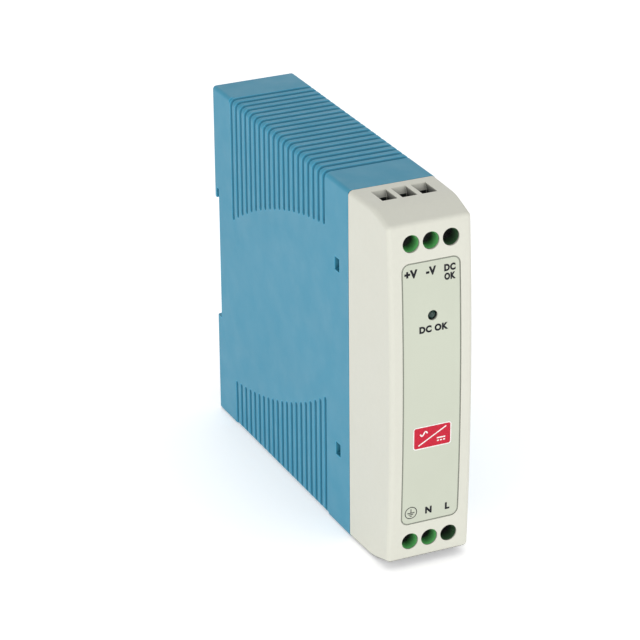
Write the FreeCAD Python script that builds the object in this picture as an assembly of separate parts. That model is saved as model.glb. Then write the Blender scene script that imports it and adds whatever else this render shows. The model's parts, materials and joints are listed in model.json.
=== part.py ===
import FreeCAD, Part
import math
import os

# Slim DIN rail power supply. Millimetres, +Z up, the front looks along -Y.
# Origin: middle of the plane where the case sits on the rail's front flanges.

V = FreeCAD.Vector

# ---- driving dimensions: case ----
HALF_WIDTH = 11.25
HALF_HEIGHT = 45.0
BACK_Y = 3.0
TUB_FRONT_Y = -77.25
COVER_BACK_Y = -77.55
FRONT_Y = -98.6
FRONT_CORNER_Y = -97.0
WALL = 1.6
TUB_EDGE_R = 1.0
CAVITY_BACK_Y = -2.9

# ---- moulded grooves round the top and bottom of the tub ----
GROOVE_COUNT = 20
GROOVE_PITCH = 2.87
GROOVE_REAR_Y = -9.3
GROOVE_MOUTH = 1.5
GROOVE_FLOOR = 0.7
GROOVE_DEPTH = 1.0
GROOVE_CORNER_R = 1.6
ARC_R = 136.5
ARC_CENTRE_Y = -80.3
ARC_CENTRE_Z = -103.1
ARC_MIRROR_Y = -36.5
ARC_MIRROR_Z = -0.3

# ---- shallow dish in the plain middle of each side ----
DISH_HALF_LENGTH = 33.0
DISH_HALF_WIDTH = 20.5
DISH_DEPTH = 0.5
DISH_TILT_DEG = 19.3
DISH_AXIS_X = 10.0

# ---- snap windows and tongues ----
SNAP_Z = 24.2
WINDOW_HEIGHT = 3.4
WINDOW_REAR_Y = -69.8
WINDOW_FRONT_Y = -72.4
TONGUE_HALF_WIDTH = 3.0
TONGUE_REAR_Y = -68.9
TONGUE_INNER_X = 8.25
TONGUE_OUTER_X = 9.45
TONGUE_ROOT_X = 10.3
BARB_X = 10.5
SKIRT_HALF_WIDTH = 7.4
SKIRT_INNER_Z = 42.2
SKIRT_OUTER_Z = 43.25
SKIRT_ROOT_Z = 43.9
SKIRT_REAR_Y = -74.6

# ---- rail seat and latch ----
RAIL_SLOT_Y = 1.3
HOOK_TIP_Z = 15.2
HOOK_ROOT_Z = 17.9
RECESS_BOTTOM_Z = -18.0
CHANNEL_HALF = 6.1
CHANNEL_FLOOR_Y = -1.15
THROAT_HALF = 4.15
LATCH_HALF = 6.0
LATCH_THROAT_HALF = 4.0
LATCH_BACK_Y = 2.9
LATCH_INNER_Y = -1.0
LATCH_SHOULDER_Y = 1.2
LATCH_SHOULDER_Z = -19.0
LATCH_FOOT_Z = -44.6
LATCH_WINDOW_HALF = 2.2
LATCH_WINDOW_TOP_Z = -24.0
LATCH_WINDOW_FOOT_Z = -38.1
PULL_SLOT_HALF = 1.75
PULL_SLOT_FOOT_Z = -43.4
PULL_SLOT_TOP_Z = -41.0
GRIP_LINE_ZS = (-40.0, -39.2)
STOP_TOP_Z = -36.0
STOP_FOOT_Z = -37.9
SPRING_R = 1.5
SPRING_WIRE_R = 0.22
SPRING_TURNS = 8
SPRING_AXIS_Y = 0.9
SPRING_FOOT_Z = -35.7
SPRING_TOP_Z = -24.3

# ---- front cover ----
COVER_FRONT_HALF_WIDTH = 10.6
COVER_FRONT_HALF_HEIGHT = 42.75
COVER_BREAK_Y = -89.0
COVER_BREAK_R = 14.0
COVER_EDGE_R = 1.2
LABEL_X = 0.0
LABEL_HALF_WIDTH = 7.55
LABEL_HALF_HEIGHT = 33.4
LABEL_CORNER_R = 2.0
LABEL_RECESS = 0.25
LABEL_SETBACK = 0.04
LABEL_BED_GAP = 0.01
LABEL_GAP = 0.15
LED_X = 0.25
LED_Z = 19.8
LED_R = 1.15
LED_HOLE_R = 1.25
LED_FLANGE_R = 1.5
LED_BASE_Y = -90.5
LED_LEAD_SPACING = 1.3
LED_LEAD_R = 0.22
LED_LEAD_HOLE_R = 0.3

# ---- wire openings over the terminals ----
FUNNEL_HALF_X = 1.95
FUNNEL_FRONT_Y = -86.6
FUNNEL_REAR_Y = -80.0
SHAFT_HALF_X = 1.7
SHAFT_FRONT_Y = -86.3
SHAFT_REAR_Y = -81.4
SHAFT_TOP_Z = 43.6
SHAFT_FOOT_Z = 42.1
SHAFT_WALL = 0.8
WIRE_WAY_HALF = 1.5
WIRE_WAY_FRONT_Y = -84.2
WIRE_WAY_REAR_Y = -81.1

# ---- screw terminals ----
POLE_X = 0.15
POLE_PITCH = 5.08
SCREW_Z = 38.0
ACCESS_R = 2.15
SLEEVE_R = 2.05
SLEEVE_BORE_R = 1.6
SLEEVE_MOUTH_R = 1.98
SLEEVE_FLARE = 2.6
SLEEVE_FRONT_Y = -96.9
BLOCK_HALF_WIDTH = 7.85
BLOCK_FRONT_Y = -95.1
BLOCK_BACK_Y = -75.4
BLOCK_INNER_Z = 33.3
BLOCK_OUTER_Z = 41.3
HEAD_FRONT_Y = -91.4
HEAD_BACK_Y = -89.8
HEAD_R = 1.9
THROAT_FRONT_Y = -89.3
SCREW_R = 1.4
SCREW_TIP_Y = -85.3
THREAD_PITCH = 0.5
THREAD_DEPTH = 0.15
THREAD_CLEARANCE = 0.09
CAGE_HALF_X = 2.0
CAGE_HALF_Z = 2.2
CAGE_FRONT_Y = -87.2
CAGE_BACK_Y = -80.4
CAGE_END_WALL = 0.8
CAGE_SIDE_WALL = 0.45
BAR_FRONT_Y = -84.9
BAR_BACK_Y = -84.1
BAR_HALF = 1.25
LEG_Z = 34.2
LEG_THICKNESS = 0.8
PIN_HALF_X = 0.5
SCREW_SLOT_HALF = 0.3

# ---- circuit boards ----
BOARD_FACE_X = 7.2
BOARD_BACK_X = 8.8
BOARD_FRONT_Y = -73.4
BOARD_REAR_Y = -6.0
BOARD_HALF_HEIGHT = 41.0
GUIDE_INNER_X = 5.9
FRONT_BOARD_FRONT_Y = -75.3
FRONT_BOARD_BACK_Y = -73.7
FRONT_BOARD_HALF_WIDTH = 9.2
LEAD_R = 0.4
LEAD_END_X = 9.2
SEAT_X = 6.9
NOTCH_HALF = 4.0
INSULATION_X = 9.33
HEADER_X = 6.0
HEADER_FIRST_Z = 7.0
HEADER_PIN_HALF = 0.3
HEADER_BEND_Y = -72.05
IC_PITCH = 2.54

# ---- middles of the parts on the main board ----
FUSE_X = 3.4
FUSE_Z = -35.0
FUSE_R = 2.45
FUSE_FRONT_Y = -70.0
FUSE_REAR_Y = -50.0
FUSE_CLIP_YS = (-67.4, -52.6)
THERMISTOR_Y = -44.0
X_CAP_Y = -65.5
X_CAP_Z = -18.0
Y_CAP_Y = -67.0
Y_CAP_Z = -3.0
CHOKE_Y = -47.0
CHOKE_Z = -18.0
CHOKE_CORE_OUTER_R = 8.6
CHOKE_CORE_INNER_R = 4.6
CHOKE_CORE_HALF_X = 3.4
BRIDGE_Y = -33.75
BRIDGE_Z = -22.0
BULK_X = -1.2
BULK_Y = -20.5
BULK_TOP_Z = -9.0
BULK_LEAD_Z = -7.0
TRANSFORMER_X = -0.8
TRANSFORMER_Y = -47.5
TRANSFORMER_Z = 8.0
PACKAGE_Y = -21.0
PACKAGE_LEAD_Z = -2.3
TAB_HOLE_X = -6.6
SECONDARY_SINK_Z = 25.7
CONTROL_Z = 11.0
OPTO_Z = 9.0
CHIP_LEG_SPAN = 7.6
RESISTOR_Y = -18.0
RESISTOR_ZS = (17.3, 19.7)
RESISTOR_SPAN = 12.4
OUTPUT_Z = 33.5
OUTPUT_CAP_YS = (-62.0, -51.0)
INDUCTOR_Y = -39.5
AUXILIARY_Y = -27.5
AUXILIARY_Z = 16.5
RELAY_Y = -66.8
RELAY_Z = 12.5


def box(x0, x1, y0, y1, z0, z1):
    return Part.makeBox(x1 - x0, y1 - y0, z1 - z0, V(x0, y0, z0))


def cylinder_x(r, x0, x1, y, z):
    return Part.makeCylinder(r, x1 - x0, V(x0, y, z), V(1, 0, 0))


def cylinder_y(r, y0, y1, x, z):
    return Part.makeCylinder(r, y1 - y0, V(x, y0, z), V(0, 1, 0))


def cylinder_z(r, z0, z1, x, y):
    return Part.makeCylinder(r, z1 - z0, V(x, y, z0), V(0, 0, 1))


def prism(points, direction):
    return Part.Face(Part.makePolygon(points + [points[0]])).extrude(direction)


def upside_down(shape):
    return shape.mirror(V(0, 0, 0), V(0, 0, 1))


def other_side(shape):
    return shape.mirror(V(0, 0, 0), V(1, 0, 0))


def group(solids):
    return Part.makeCompound(solids)


def straight_prism(outline, x0, length):
    """Outline of (y, z) points carried along X."""
    return prism([V(x0, y, z) for y, z in outline], V(length, 0, 0))


def long_edges(shape, x_min, z_min):
    """Edges that run front to back along the outer corners of the case."""
    found = []
    for edge in shape.Edges:
        b = edge.BoundBox
        if b.YLength > 1.0 and b.XLength < 1.5 and b.ZLength < 3.5:
            if min(abs(b.XMin), abs(b.XMax)) > x_min and min(abs(b.ZMin), abs(b.ZMax)) > z_min:
                found.append(edge)
    return found


def edges_at_y(shape, y):
    return [e for e in shape.Edges if abs(e.BoundBox.YMin - y) < 0.01 and abs(e.BoundBox.YMax - y) < 0.01]


def rounded_plate(half_width, half_height, radius, centre_x, y0, y1):
    plate = box(centre_x - half_width, centre_x + half_width, y0, y1, -half_height, half_height)
    corners = [e for e in plate.Edges if e.BoundBox.YLength > 0.9 * (y1 - y0)]
    return plate.makeFillet(radius, corners)


# ---------------------------------------------------------------- rear tub

def groove_ys():
    return [GROOVE_REAR_Y - i * GROOVE_PITCH for i in range(GROOVE_COUNT)]


def top_groove_end(y):
    """Height where a top groove stops: the ends lie on one long arc."""
    return ARC_CENTRE_Z + math.sqrt(ARC_R ** 2 - (y - ARC_CENTRE_Y) ** 2)


def bottom_groove_end(y):
    """The lower pattern is the upper one turned half a turn."""
    return 2 * ARC_MIRROR_Z - top_groove_end(2 * ARC_MIRROR_Y - y)


def groove_section():
    """Half widths of the cutter at its outer face and at the groove floor, and its outer overlap."""
    overlap = 0.2
    slope = (GROOVE_MOUTH - GROOVE_FLOOR) / 2 / GROOVE_DEPTH
    return GROOVE_MOUTH / 2 + overlap * slope, GROOVE_FLOOR / 2, overlap


def side_groove(y, z_end, z_out):
    """Tapered groove up one side, with a rounded end."""
    mouth, floor, overlap = groove_section()
    outer = HALF_WIDTH + overlap
    floor_x = HALF_WIDTH - GROOVE_DEPTH
    low = min(z_end, z_out)
    points = [V(outer, y - mouth, low), V(floor_x, y - floor, low)]
    points += [V(floor_x, y + floor, low), V(outer, y + mouth, low)]
    run = prism(points, V(0, 0, abs(z_out - z_end)))
    end = Part.makeCone(floor, mouth, outer - floor_x, V(floor_x, y, z_end), V(1, 0, 0))
    return [run, end]


def crossing_groove(y):
    """The same groove carried across the top of the case."""
    mouth, floor, overlap = groove_section()
    outer = HALF_HEIGHT + overlap
    floor_z = HALF_HEIGHT - GROOVE_DEPTH
    outline = [(y - mouth, outer), (y - floor, floor_z), (y + floor, floor_z), (y + mouth, outer)]
    return straight_prism(outline, -HALF_WIDTH - 1, 2 * HALF_WIDTH + 2)


def groove_cutters():
    cutters = []
    for y in groove_ys():
        for run in side_groove(y, top_groove_end(y), HALF_HEIGHT + 1):
            cutters.append(run)
            cutters.append(other_side(run))
        for run in side_groove(y, bottom_groove_end(y), -HALF_HEIGHT - 1):
            cutters.append(run)
            cutters.append(other_side(run))
        cutters.append(crossing_groove(y))
        cutters.append(upside_down(crossing_groove(y)))
    return cutters


def corner_rounders():
    """Larger corner radius along the grooved length of the case, on its -X side."""
    margin = 1.4
    y0 = GROOVE_REAR_Y - (GROOVE_COUNT - 1) * GROOVE_PITCH - margin
    y1 = GROOVE_REAR_Y + margin
    r = GROOVE_CORNER_R
    block = box(HALF_WIDTH - r, HALF_WIDTH + 1, y0, y1, HALF_HEIGHT - r, HALF_HEIGHT + 1)
    corner = block.cut(cylinder_y(r, y0 - 1, y1 + 1, HALF_WIDTH - r, HALF_HEIGHT - r))
    return [other_side(corner), other_side(upside_down(corner))]


def dish_cutter():
    """Long shallow hollow in the +X side, tilted with the groove ends."""
    offset = DISH_AXIS_X - DISH_DEPTH
    reach = math.sqrt(1 - (offset / DISH_AXIS_X) ** 2)
    ball = Part.makeSphere(1.0)
    stretch = FreeCAD.Matrix()
    stretch.scale(DISH_AXIS_X, DISH_HALF_LENGTH / reach, DISH_HALF_WIDTH / reach)
    ball = ball.transformGeometry(stretch)
    ball.rotate(V(0, 0, 0), V(1, 0, 0), -DISH_TILT_DEG)
    ball.translate(V(HALF_WIDTH + offset, ARC_MIRROR_Y, ARC_MIRROR_Z))
    return ball


def rail_seat_cutters():
    recess = box(-HALF_WIDTH - 1, HALF_WIDTH + 1, 0, BACK_Y + 1, RECESS_BOTTOM_Z, HOOK_TIP_Z)
    slot = box(-HALF_WIDTH - 1, HALF_WIDTH + 1, 0, RAIL_SLOT_Y, HOOK_TIP_Z - 1, HOOK_ROOT_Z)
    lead_in_size = 0.9
    tip_z = HOOK_TIP_Z - 0.1
    back_y = BACK_Y + 0.1
    outline = [(back_y, tip_z), (back_y, HOOK_TIP_Z + lead_in_size), (BACK_Y - lead_in_size, tip_z)]
    lead_in = straight_prism(outline, -HALF_WIDTH - 1, 2 * HALF_WIDTH + 2)
    return [recess, slot, lead_in]


def latch_channel_cutters():
    foot_z = -HALF_HEIGHT - 1
    top_z = RECESS_BOTTOM_Z + 0.5
    wide = box(-CHANNEL_HALF, CHANNEL_HALF, CHANNEL_FLOOR_Y, RAIL_SLOT_Y, foot_z, top_z)
    narrow = box(-THROAT_HALF, THROAT_HALF, CHANNEL_FLOOR_Y, BACK_Y + 1, foot_z, top_z)
    return [wide, narrow]


def board_guides():
    """Ribs that hold the long edges of the main board against the side."""
    ribs = []
    inner_z = BOARD_HALF_HEIGHT - 0.8
    outer_z = HALF_HEIGHT - WALL + 0.2
    for y0, y1 in ((-64.0, -50.0), (-30.0, -10.0)):
        rib = box(GUIDE_INNER_X, BOARD_FACE_X - 0.15, y0, y1, inner_z, outer_z)
        ribs.append(rib)
        ribs.append(upside_down(rib))
    return ribs


def rear_housing():
    tub = box(-HALF_WIDTH, HALF_WIDTH, TUB_FRONT_Y, BACK_Y, -HALF_HEIGHT, HALF_HEIGHT)
    outer_edges = long_edges(tub, HALF_WIDTH - 0.1, HALF_HEIGHT - 0.1) + edges_at_y(tub, BACK_Y)
    tub = tub.makeFillet(TUB_EDGE_R, outer_edges)
    inner_x = HALF_WIDTH - WALL
    inner_z = HALF_HEIGHT - WALL
    tub = tub.cut(box(-inner_x, inner_x, TUB_FRONT_Y - 1, CAVITY_BACK_Y, -inner_z, inner_z))
    tub = tub.cut(box(-inner_x, inner_x, CAVITY_BACK_Y - 0.5, BACK_Y - WALL, HOOK_ROOT_Z + 3, inner_z))
    tub = tub.fuse(board_guides())
    tub = tub.cut(corner_rounders())
    tub = tub.cut(groove_cutters())
    dish = dish_cutter()
    tub = tub.cut([dish, other_side(dish)])
    tub = tub.cut(rail_seat_cutters() + latch_channel_cutters())
    windows = []
    for z in (-SNAP_Z, SNAP_Z):
        windows.append(box(-HALF_WIDTH - 1, HALF_WIDTH + 1, WINDOW_FRONT_Y, WINDOW_REAR_Y,
                           z - WINDOW_HEIGHT / 2, z + WINDOW_HEIGHT / 2))
    tub = tub.cut(windows)
    stop_half = LATCH_WINDOW_HALF - 0.3
    stop = box(-stop_half, stop_half, CHANNEL_FLOOR_Y - 0.5, BACK_Y - 0.6, STOP_FOOT_Z, STOP_TOP_Z)
    return tub.fuse(stop)


# ---------------------------------------------------------------- rail latch

def rail_latch():
    wide = box(-LATCH_HALF, LATCH_HALF, LATCH_INNER_Y, LATCH_SHOULDER_Y, LATCH_FOOT_Z, LATCH_SHOULDER_Z)
    rail_face_y = RAIL_SLOT_Y + 0.1
    throat = LATCH_THROAT_HALF
    body = box(-throat, throat, LATCH_INNER_Y, LATCH_BACK_Y, LATCH_FOOT_Z, LATCH_SHOULDER_Z)
    nose = box(-throat, throat, rail_face_y, LATCH_BACK_Y, LATCH_SHOULDER_Z - 0.5, -HOOK_TIP_Z)
    ramp_outline = [(LATCH_BACK_Y + 0.1, -HOOK_TIP_Z + 0.1), (rail_face_y + 0.5, -HOOK_TIP_Z + 0.1),
                    (LATCH_BACK_Y + 0.1, -HOOK_TIP_Z - 1.4)]
    ramp = straight_prism(ramp_outline, -LATCH_HALF - 1, 2 * LATCH_HALF + 2)
    latch = wide.fuse([body, nose]).cut(ramp)
    through = (LATCH_INNER_Y - 1, LATCH_BACK_Y + 1)
    spring_window = box(-LATCH_WINDOW_HALF, LATCH_WINDOW_HALF, *through,
                        LATCH_WINDOW_FOOT_Z, LATCH_WINDOW_TOP_Z)
    pull_slot = box(-PULL_SLOT_HALF, PULL_SLOT_HALF, *through, PULL_SLOT_FOOT_Z, PULL_SLOT_TOP_Z)
    latch = latch.cut([spring_window, pull_slot])
    grips = []
    for z in GRIP_LINE_ZS:
        grips.append(box(-3.0, 3.0, LATCH_BACK_Y - 0.3, LATCH_BACK_Y + 0.1, z, z + 0.4))
    return latch.cut(grips)


def latch_spring():
    length = SPRING_TOP_Z - SPRING_FOOT_Z
    path = Part.makeHelix(length / SPRING_TURNS, length, SPRING_R)
    start = Part.makeCircle(SPRING_WIRE_R, V(SPRING_R, 0, 0), V(0, 1, 0))
    coil = Part.Wire(path).makePipeShell([Part.Wire(start)], True, True)
    coil.translate(V(0, SPRING_AXIS_Y, SPRING_FOOT_Z))
    return coil


# ---------------------------------------------------------------- front cover

def bow_radius():
    """Radius of the gentle outward bow of the front face, seen from the side."""
    rise = FRONT_CORNER_Y - FRONT_Y
    return (COVER_FRONT_HALF_HEIGHT ** 2 + rise ** 2) / (2 * rise)


def bow(inset):
    """Everything behind the bowed front face moved back by the inset."""
    radius = bow_radius()
    start = V(-HALF_WIDTH - 1, FRONT_Y + radius, 0)
    return Part.makeCylinder(radius - inset, 2 * HALF_WIDTH + 2, start, V(1, 0, 0))


def front_face_y(z):
    return FRONT_Y + bow_radius() - math.sqrt(bow_radius() ** 2 - z ** 2)


def cover_form(half_width, front_half_width, half_height, front_half_height, back_y, inset, break_y):
    """Tapered cap: flat top and bottom, then a slope down to the bowed front face."""
    front_y = FRONT_Y + inset
    corner_y = FRONT_CORNER_Y + inset
    fall = (half_height - front_half_height) / (break_y - corner_y) * (corner_y - front_y + 1)
    outline = [(back_y, half_height), (break_y, half_height), (front_y - 1, front_half_height - fall)]
    outline += [(y, -z) for y, z in reversed(outline)]
    side_view = straight_prism(outline, -half_width - 1, 2 * half_width + 2)
    breaks = []
    for edge in side_view.Edges:
        if edge.BoundBox.XLength > half_width and abs(edge.BoundBox.YMin - break_y) < 0.01:
            breaks.append(edge)
    side_view = side_view.makeFillet(COVER_BREAK_R, breaks).common(bow(inset))
    z0 = -half_height - 1
    plan = [V(-half_width, back_y, z0), V(-front_half_width, front_y, z0), V(front_half_width, front_y, z0),
            V(half_width, back_y, z0)]
    return side_view.common(prism(plan, V(0, 0, 2 * half_height + 2)))


def front_edges(cap):
    """The four edges round the bowed front face."""
    rear_limit = FRONT_CORNER_Y + 0.05
    return [edge for edge in cap.Edges if edge.BoundBox.YMax < rear_limit]


def pole_xs():
    return [POLE_X - POLE_PITCH, POLE_X, POLE_X + POLE_PITCH]


def rectangle(x0, x1, y0, y1, z):
    corners = [V(x0, y0, z), V(x1, y0, z), V(x1, y1, z), V(x0, y1, z)]
    return Part.makePolygon(corners + [corners[0]])


def funnel(x):
    """Wire lead-in: a sloped mouth over a straight shaft to the clamp below."""
    mouth = rectangle(x - FUNNEL_HALF_X, x + FUNNEL_HALF_X, FUNNEL_FRONT_Y, FUNNEL_REAR_Y, HALF_HEIGHT + 0.05)
    throat = rectangle(x - SHAFT_HALF_X, x + SHAFT_HALF_X, SHAFT_FRONT_Y, SHAFT_REAR_Y, SHAFT_TOP_Z)
    slopes = Part.makeLoft([throat, mouth], True, True)
    shaft = box(x - SHAFT_HALF_X, x + SHAFT_HALF_X, SHAFT_FRONT_Y, SHAFT_REAR_Y, SHAFT_FOOT_Z, SHAFT_TOP_Z)
    return slopes.fuse(shaft)


def funnel_boss():
    """Thicker band inside the cover that the three shafts pass through."""
    reach = POLE_PITCH + SHAFT_HALF_X + SHAFT_WALL
    return box(POLE_X - reach, POLE_X + reach, SHAFT_FRONT_Y - SHAFT_WALL, FUNNEL_REAR_Y + SHAFT_WALL,
               SKIRT_INNER_Z, SKIRT_ROOT_Z)


def snap_tongue():
    """Springy tongue on the +X side, upper position, with its barb."""
    z0 = SNAP_Z - TONGUE_HALF_WIDTH
    z1 = SNAP_Z + TONGUE_HALF_WIDTH
    tongue = box(TONGUE_INNER_X, TONGUE_OUTER_X, COVER_BACK_Y - 3, TONGUE_REAR_Y, z0, z1)
    root = box(TONGUE_INNER_X, TONGUE_ROOT_X, COVER_BACK_Y - 4, COVER_BACK_Y - 0.3, z0, z1)
    barb_z = SNAP_Z - WINDOW_HEIGHT / 2 + 0.2
    barb_front = WINDOW_FRONT_Y + 0.05
    root_x = TONGUE_OUTER_X - 0.25
    points = [V(root_x, barb_front, barb_z), V(BARB_X, barb_front, barb_z)]
    points += [V(BARB_X, barb_front + 0.4, barb_z), V(root_x, TONGUE_REAR_Y - 0.3, barb_z)]
    barb = prism(points, V(0, 0, WINDOW_HEIGHT - 0.4))
    return tongue.fuse([root, barb])


def cover_skirt():
    """Lip inside the upper edge that centres the cover in the tub."""
    front_y = COVER_BACK_Y - 2.6
    lip = box(-SKIRT_HALF_WIDTH, SKIRT_HALF_WIDTH, front_y, SKIRT_REAR_Y, SKIRT_INNER_Z, SKIRT_OUTER_Z)
    root = box(-SKIRT_HALF_WIDTH, SKIRT_HALF_WIDTH, front_y, COVER_BACK_Y - 0.3, SKIRT_INNER_Z, SKIRT_ROOT_Z)
    return lip.fuse(root)


def front_cover():
    cap = cover_form(HALF_WIDTH, COVER_FRONT_HALF_WIDTH, HALF_HEIGHT, COVER_FRONT_HALF_HEIGHT,
                     COVER_BACK_Y, 0, COVER_BREAK_Y)
    rounded = long_edges(cap, 9.0, 41.0) + front_edges(cap)
    cap = cap.makeFillet(COVER_EDGE_R, rounded)
    cap = cap.cut(cover_form(HALF_WIDTH - WALL, COVER_FRONT_HALF_WIDTH - WALL, HALF_HEIGHT - WALL,
                             COVER_FRONT_HALF_HEIGHT - WALL, COVER_BACK_Y + 1, WALL, COVER_BREAK_Y))
    tongue = snap_tongue()
    upper = [tongue, other_side(tongue), cover_skirt(), funnel_boss()]
    fittings = upper + [upside_down(part) for part in upper]
    cap = cap.fuse(fittings)
    cutters = []
    for x in pole_xs():
        cutters.append(funnel(x))
        cutters.append(upside_down(funnel(x)))
        cutters.append(cylinder_y(ACCESS_R, FRONT_Y - 1, FRONT_CORNER_Y + WALL + 1, x, SCREW_Z))
        cutters.append(cylinder_y(ACCESS_R, FRONT_Y - 1, FRONT_CORNER_Y + WALL + 1, x, -SCREW_Z))
    cutters.append(cylinder_y(LED_HOLE_R, FRONT_Y - 1, FRONT_Y + WALL + 1, LED_X, LED_Z))
    recess = rounded_plate(LABEL_HALF_WIDTH, LABEL_HALF_HEIGHT, LABEL_CORNER_R,
                           LABEL_X, FRONT_Y - 1, FRONT_CORNER_Y)
    cutters.append(recess.cut(bow(LABEL_RECESS)))
    return cap.cut(cutters)


def front_label():
    gap = LABEL_GAP
    label = rounded_plate(LABEL_HALF_WIDTH - gap, LABEL_HALF_HEIGHT - gap, LABEL_CORNER_R - gap,
                          LABEL_X, FRONT_Y - 1, FRONT_CORNER_Y)
    label = label.common(bow(LABEL_SETBACK)).cut(bow(LABEL_RECESS - LABEL_BED_GAP))
    return label.cut(cylinder_y(LED_HOLE_R, FRONT_Y - 1, FRONT_Y + 2, LED_X, LED_Z))


# ---------------------------------------------------------------- status light

def status_led():
    """Round lens with a domed tip and a flange at its base."""
    tip_y = front_face_y(LED_Z) + 0.1
    dome_base_y = tip_y + LED_R
    lens = cylinder_y(LED_R, dome_base_y, LED_BASE_Y - 0.5, LED_X, LED_Z)
    dome = Part.makeSphere(LED_R, V(LED_X, dome_base_y, LED_Z))
    flange = cylinder_y(LED_FLANGE_R, LED_BASE_Y - 1.0, LED_BASE_Y, LED_X, LED_Z)
    return lens.fuse([dome, flange])


def led_lead_xs():
    return [LED_X - LED_LEAD_SPACING / 2, LED_X + LED_LEAD_SPACING / 2]


def led_leads():
    end_y = FRONT_BOARD_BACK_Y + 0.4
    return group([cylinder_y(LED_LEAD_R, LED_BASE_Y, end_y, x, LED_Z) for x in led_lead_xs()])


def led_spacer():
    tube = cylinder_y(LED_FLANGE_R, LED_BASE_Y + 0.2, FRONT_BOARD_FRONT_Y - 0.1, LED_X, LED_Z)
    bores = [cylinder_y(LED_LEAD_HOLE_R, LED_BASE_Y - 1, FRONT_BOARD_BACK_Y, x, LED_Z) for x in led_lead_xs()]
    return tube.cut(bores)


# ---------------------------------------------------------------- terminals

def clamp_pocket(x):
    """Spaces in the block for one pole's cage, screw, current bar and wire."""
    half_x = CAGE_HALF_X + 0.15
    half_z = CAGE_HALF_Z + 0.15
    cavity = box(x - half_x, x + half_x, THROAT_FRONT_Y, CAGE_BACK_Y + 0.3,
                 SCREW_Z - half_z, SCREW_Z + half_z)
    wire_way = box(x - WIRE_WAY_HALF, x + WIRE_WAY_HALF, WIRE_WAY_FRONT_Y, WIRE_WAY_REAR_Y,
                   SCREW_Z, BLOCK_OUTER_Z + 1)
    bar_half = BAR_HALF + 0.1
    bar_front_y = BAR_FRONT_Y - 0.1
    leg_way = box(x - bar_half, x + bar_half, bar_front_y, BLOCK_BACK_Y + 1,
                  LEG_Z - 0.1, LEG_Z + LEG_THICKNESS + 0.1)
    bar_way = box(x - bar_half, x + bar_half, bar_front_y, BAR_BACK_Y + 0.1, LEG_Z, SCREW_Z)
    head_way = cylinder_y(HEAD_R + 0.1, HEAD_FRONT_Y - 0.3, HEAD_BACK_Y, x, SCREW_Z)
    driver_way = cylinder_y(SLEEVE_BORE_R, SLEEVE_FRONT_Y - 1, HEAD_BACK_Y, x, SCREW_Z)
    flare = Part.makeCone(SLEEVE_MOUTH_R, SLEEVE_BORE_R, SLEEVE_FLARE,
                          V(x, SLEEVE_FRONT_Y, SCREW_Z), V(0, 1, 0))
    throat = cylinder_y(SCREW_R + 0.15, HEAD_BACK_Y - 0.1, THROAT_FRONT_Y + 0.1, x, SCREW_Z)
    return [cavity, wire_way, leg_way, bar_way, head_way, driver_way, flare, throat]


def terminal_block():
    """Three-pole block with a sleeve round each screwdriver hole in the cover."""
    block = box(POLE_X - BLOCK_HALF_WIDTH, POLE_X + BLOCK_HALF_WIDTH, BLOCK_FRONT_Y, BLOCK_BACK_Y,
                BLOCK_INNER_Z, BLOCK_OUTER_Z)
    nose = []
    for edge in block.Edges:
        b = edge.BoundBox
        if b.XLength > BLOCK_HALF_WIDTH and b.YMax < BLOCK_FRONT_Y + 0.1 and b.ZMin > BLOCK_OUTER_Z - 0.1:
            nose.append(edge)
    block = block.makeChamfer(1.2, nose)
    for x in pole_xs():
        block = block.fuse(cylinder_y(SLEEVE_R, SLEEVE_FRONT_Y, BLOCK_FRONT_Y + 0.5, x, SCREW_Z))
    for x in pole_xs():
        block = block.cut(clamp_pocket(x))
    return block


def terminal_contacts():
    """A current bar in each clamp, with a leg to its pin in the front board."""
    bars = []
    leg_top = LEG_Z + LEG_THICKNESS
    for x in pole_xs():
        bar = box(x - BAR_HALF, x + BAR_HALF, BAR_FRONT_Y, BAR_BACK_Y, LEG_Z, SCREW_Z + 1.8)
        leg = box(x - BAR_HALF, x + BAR_HALF, BAR_FRONT_Y, BLOCK_BACK_Y - 0.2, LEG_Z, leg_top)
        pin = box(x - PIN_HALF_X, x + PIN_HALF_X, BLOCK_BACK_Y - 0.3, -73.0, LEG_Z, leg_top)
        bars.append(bar.fuse([leg, pin]))
    return group(bars)


def screw_shank(x):
    """Plain neck, then rings at the thread pitch, then a tapered tip."""
    neck_end_y = HEAD_BACK_Y + 0.8
    turns = int((SCREW_TIP_Y - neck_end_y) / THREAD_PITCH)
    points = [V(x, HEAD_BACK_Y, SCREW_Z), V(x + SCREW_R, HEAD_BACK_Y, SCREW_Z)]
    for i in range(turns):
        crest_y = neck_end_y + i * THREAD_PITCH
        points.append(V(x + SCREW_R, crest_y, SCREW_Z))
        points.append(V(x + SCREW_R - THREAD_DEPTH, crest_y + THREAD_PITCH / 2, SCREW_Z))
    points.append(V(x + SCREW_R - 0.3, SCREW_TIP_Y, SCREW_Z))
    points.append(V(x, SCREW_TIP_Y, SCREW_Z))
    return Part.Face(Part.makePolygon(points + [points[0]])).revolve(V(x, 0, SCREW_Z), V(0, 1, 0), 360)


def clamp_screw(x):
    """Captive terminal screw with a plain ringed thread and a slotted, crossed head."""
    head = cylinder_y(HEAD_R, HEAD_FRONT_Y, HEAD_BACK_Y, x, SCREW_Z)
    rim = [e for e in head.Edges if e.BoundBox.YMax < HEAD_FRONT_Y + 0.01]
    screw = head.makeChamfer(0.2, rim).fuse(screw_shank(x))
    half = SCREW_SLOT_HALF
    front_y = HEAD_FRONT_Y - 1
    slot = box(x - HEAD_R, x + HEAD_R, front_y, HEAD_FRONT_Y + 0.7, SCREW_Z - half, SCREW_Z + half)
    cross = box(x - half, x + half, front_y, HEAD_FRONT_Y + 0.9, SCREW_Z - 1.1, SCREW_Z + 1.1)
    return screw.cut([slot, cross])


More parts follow.
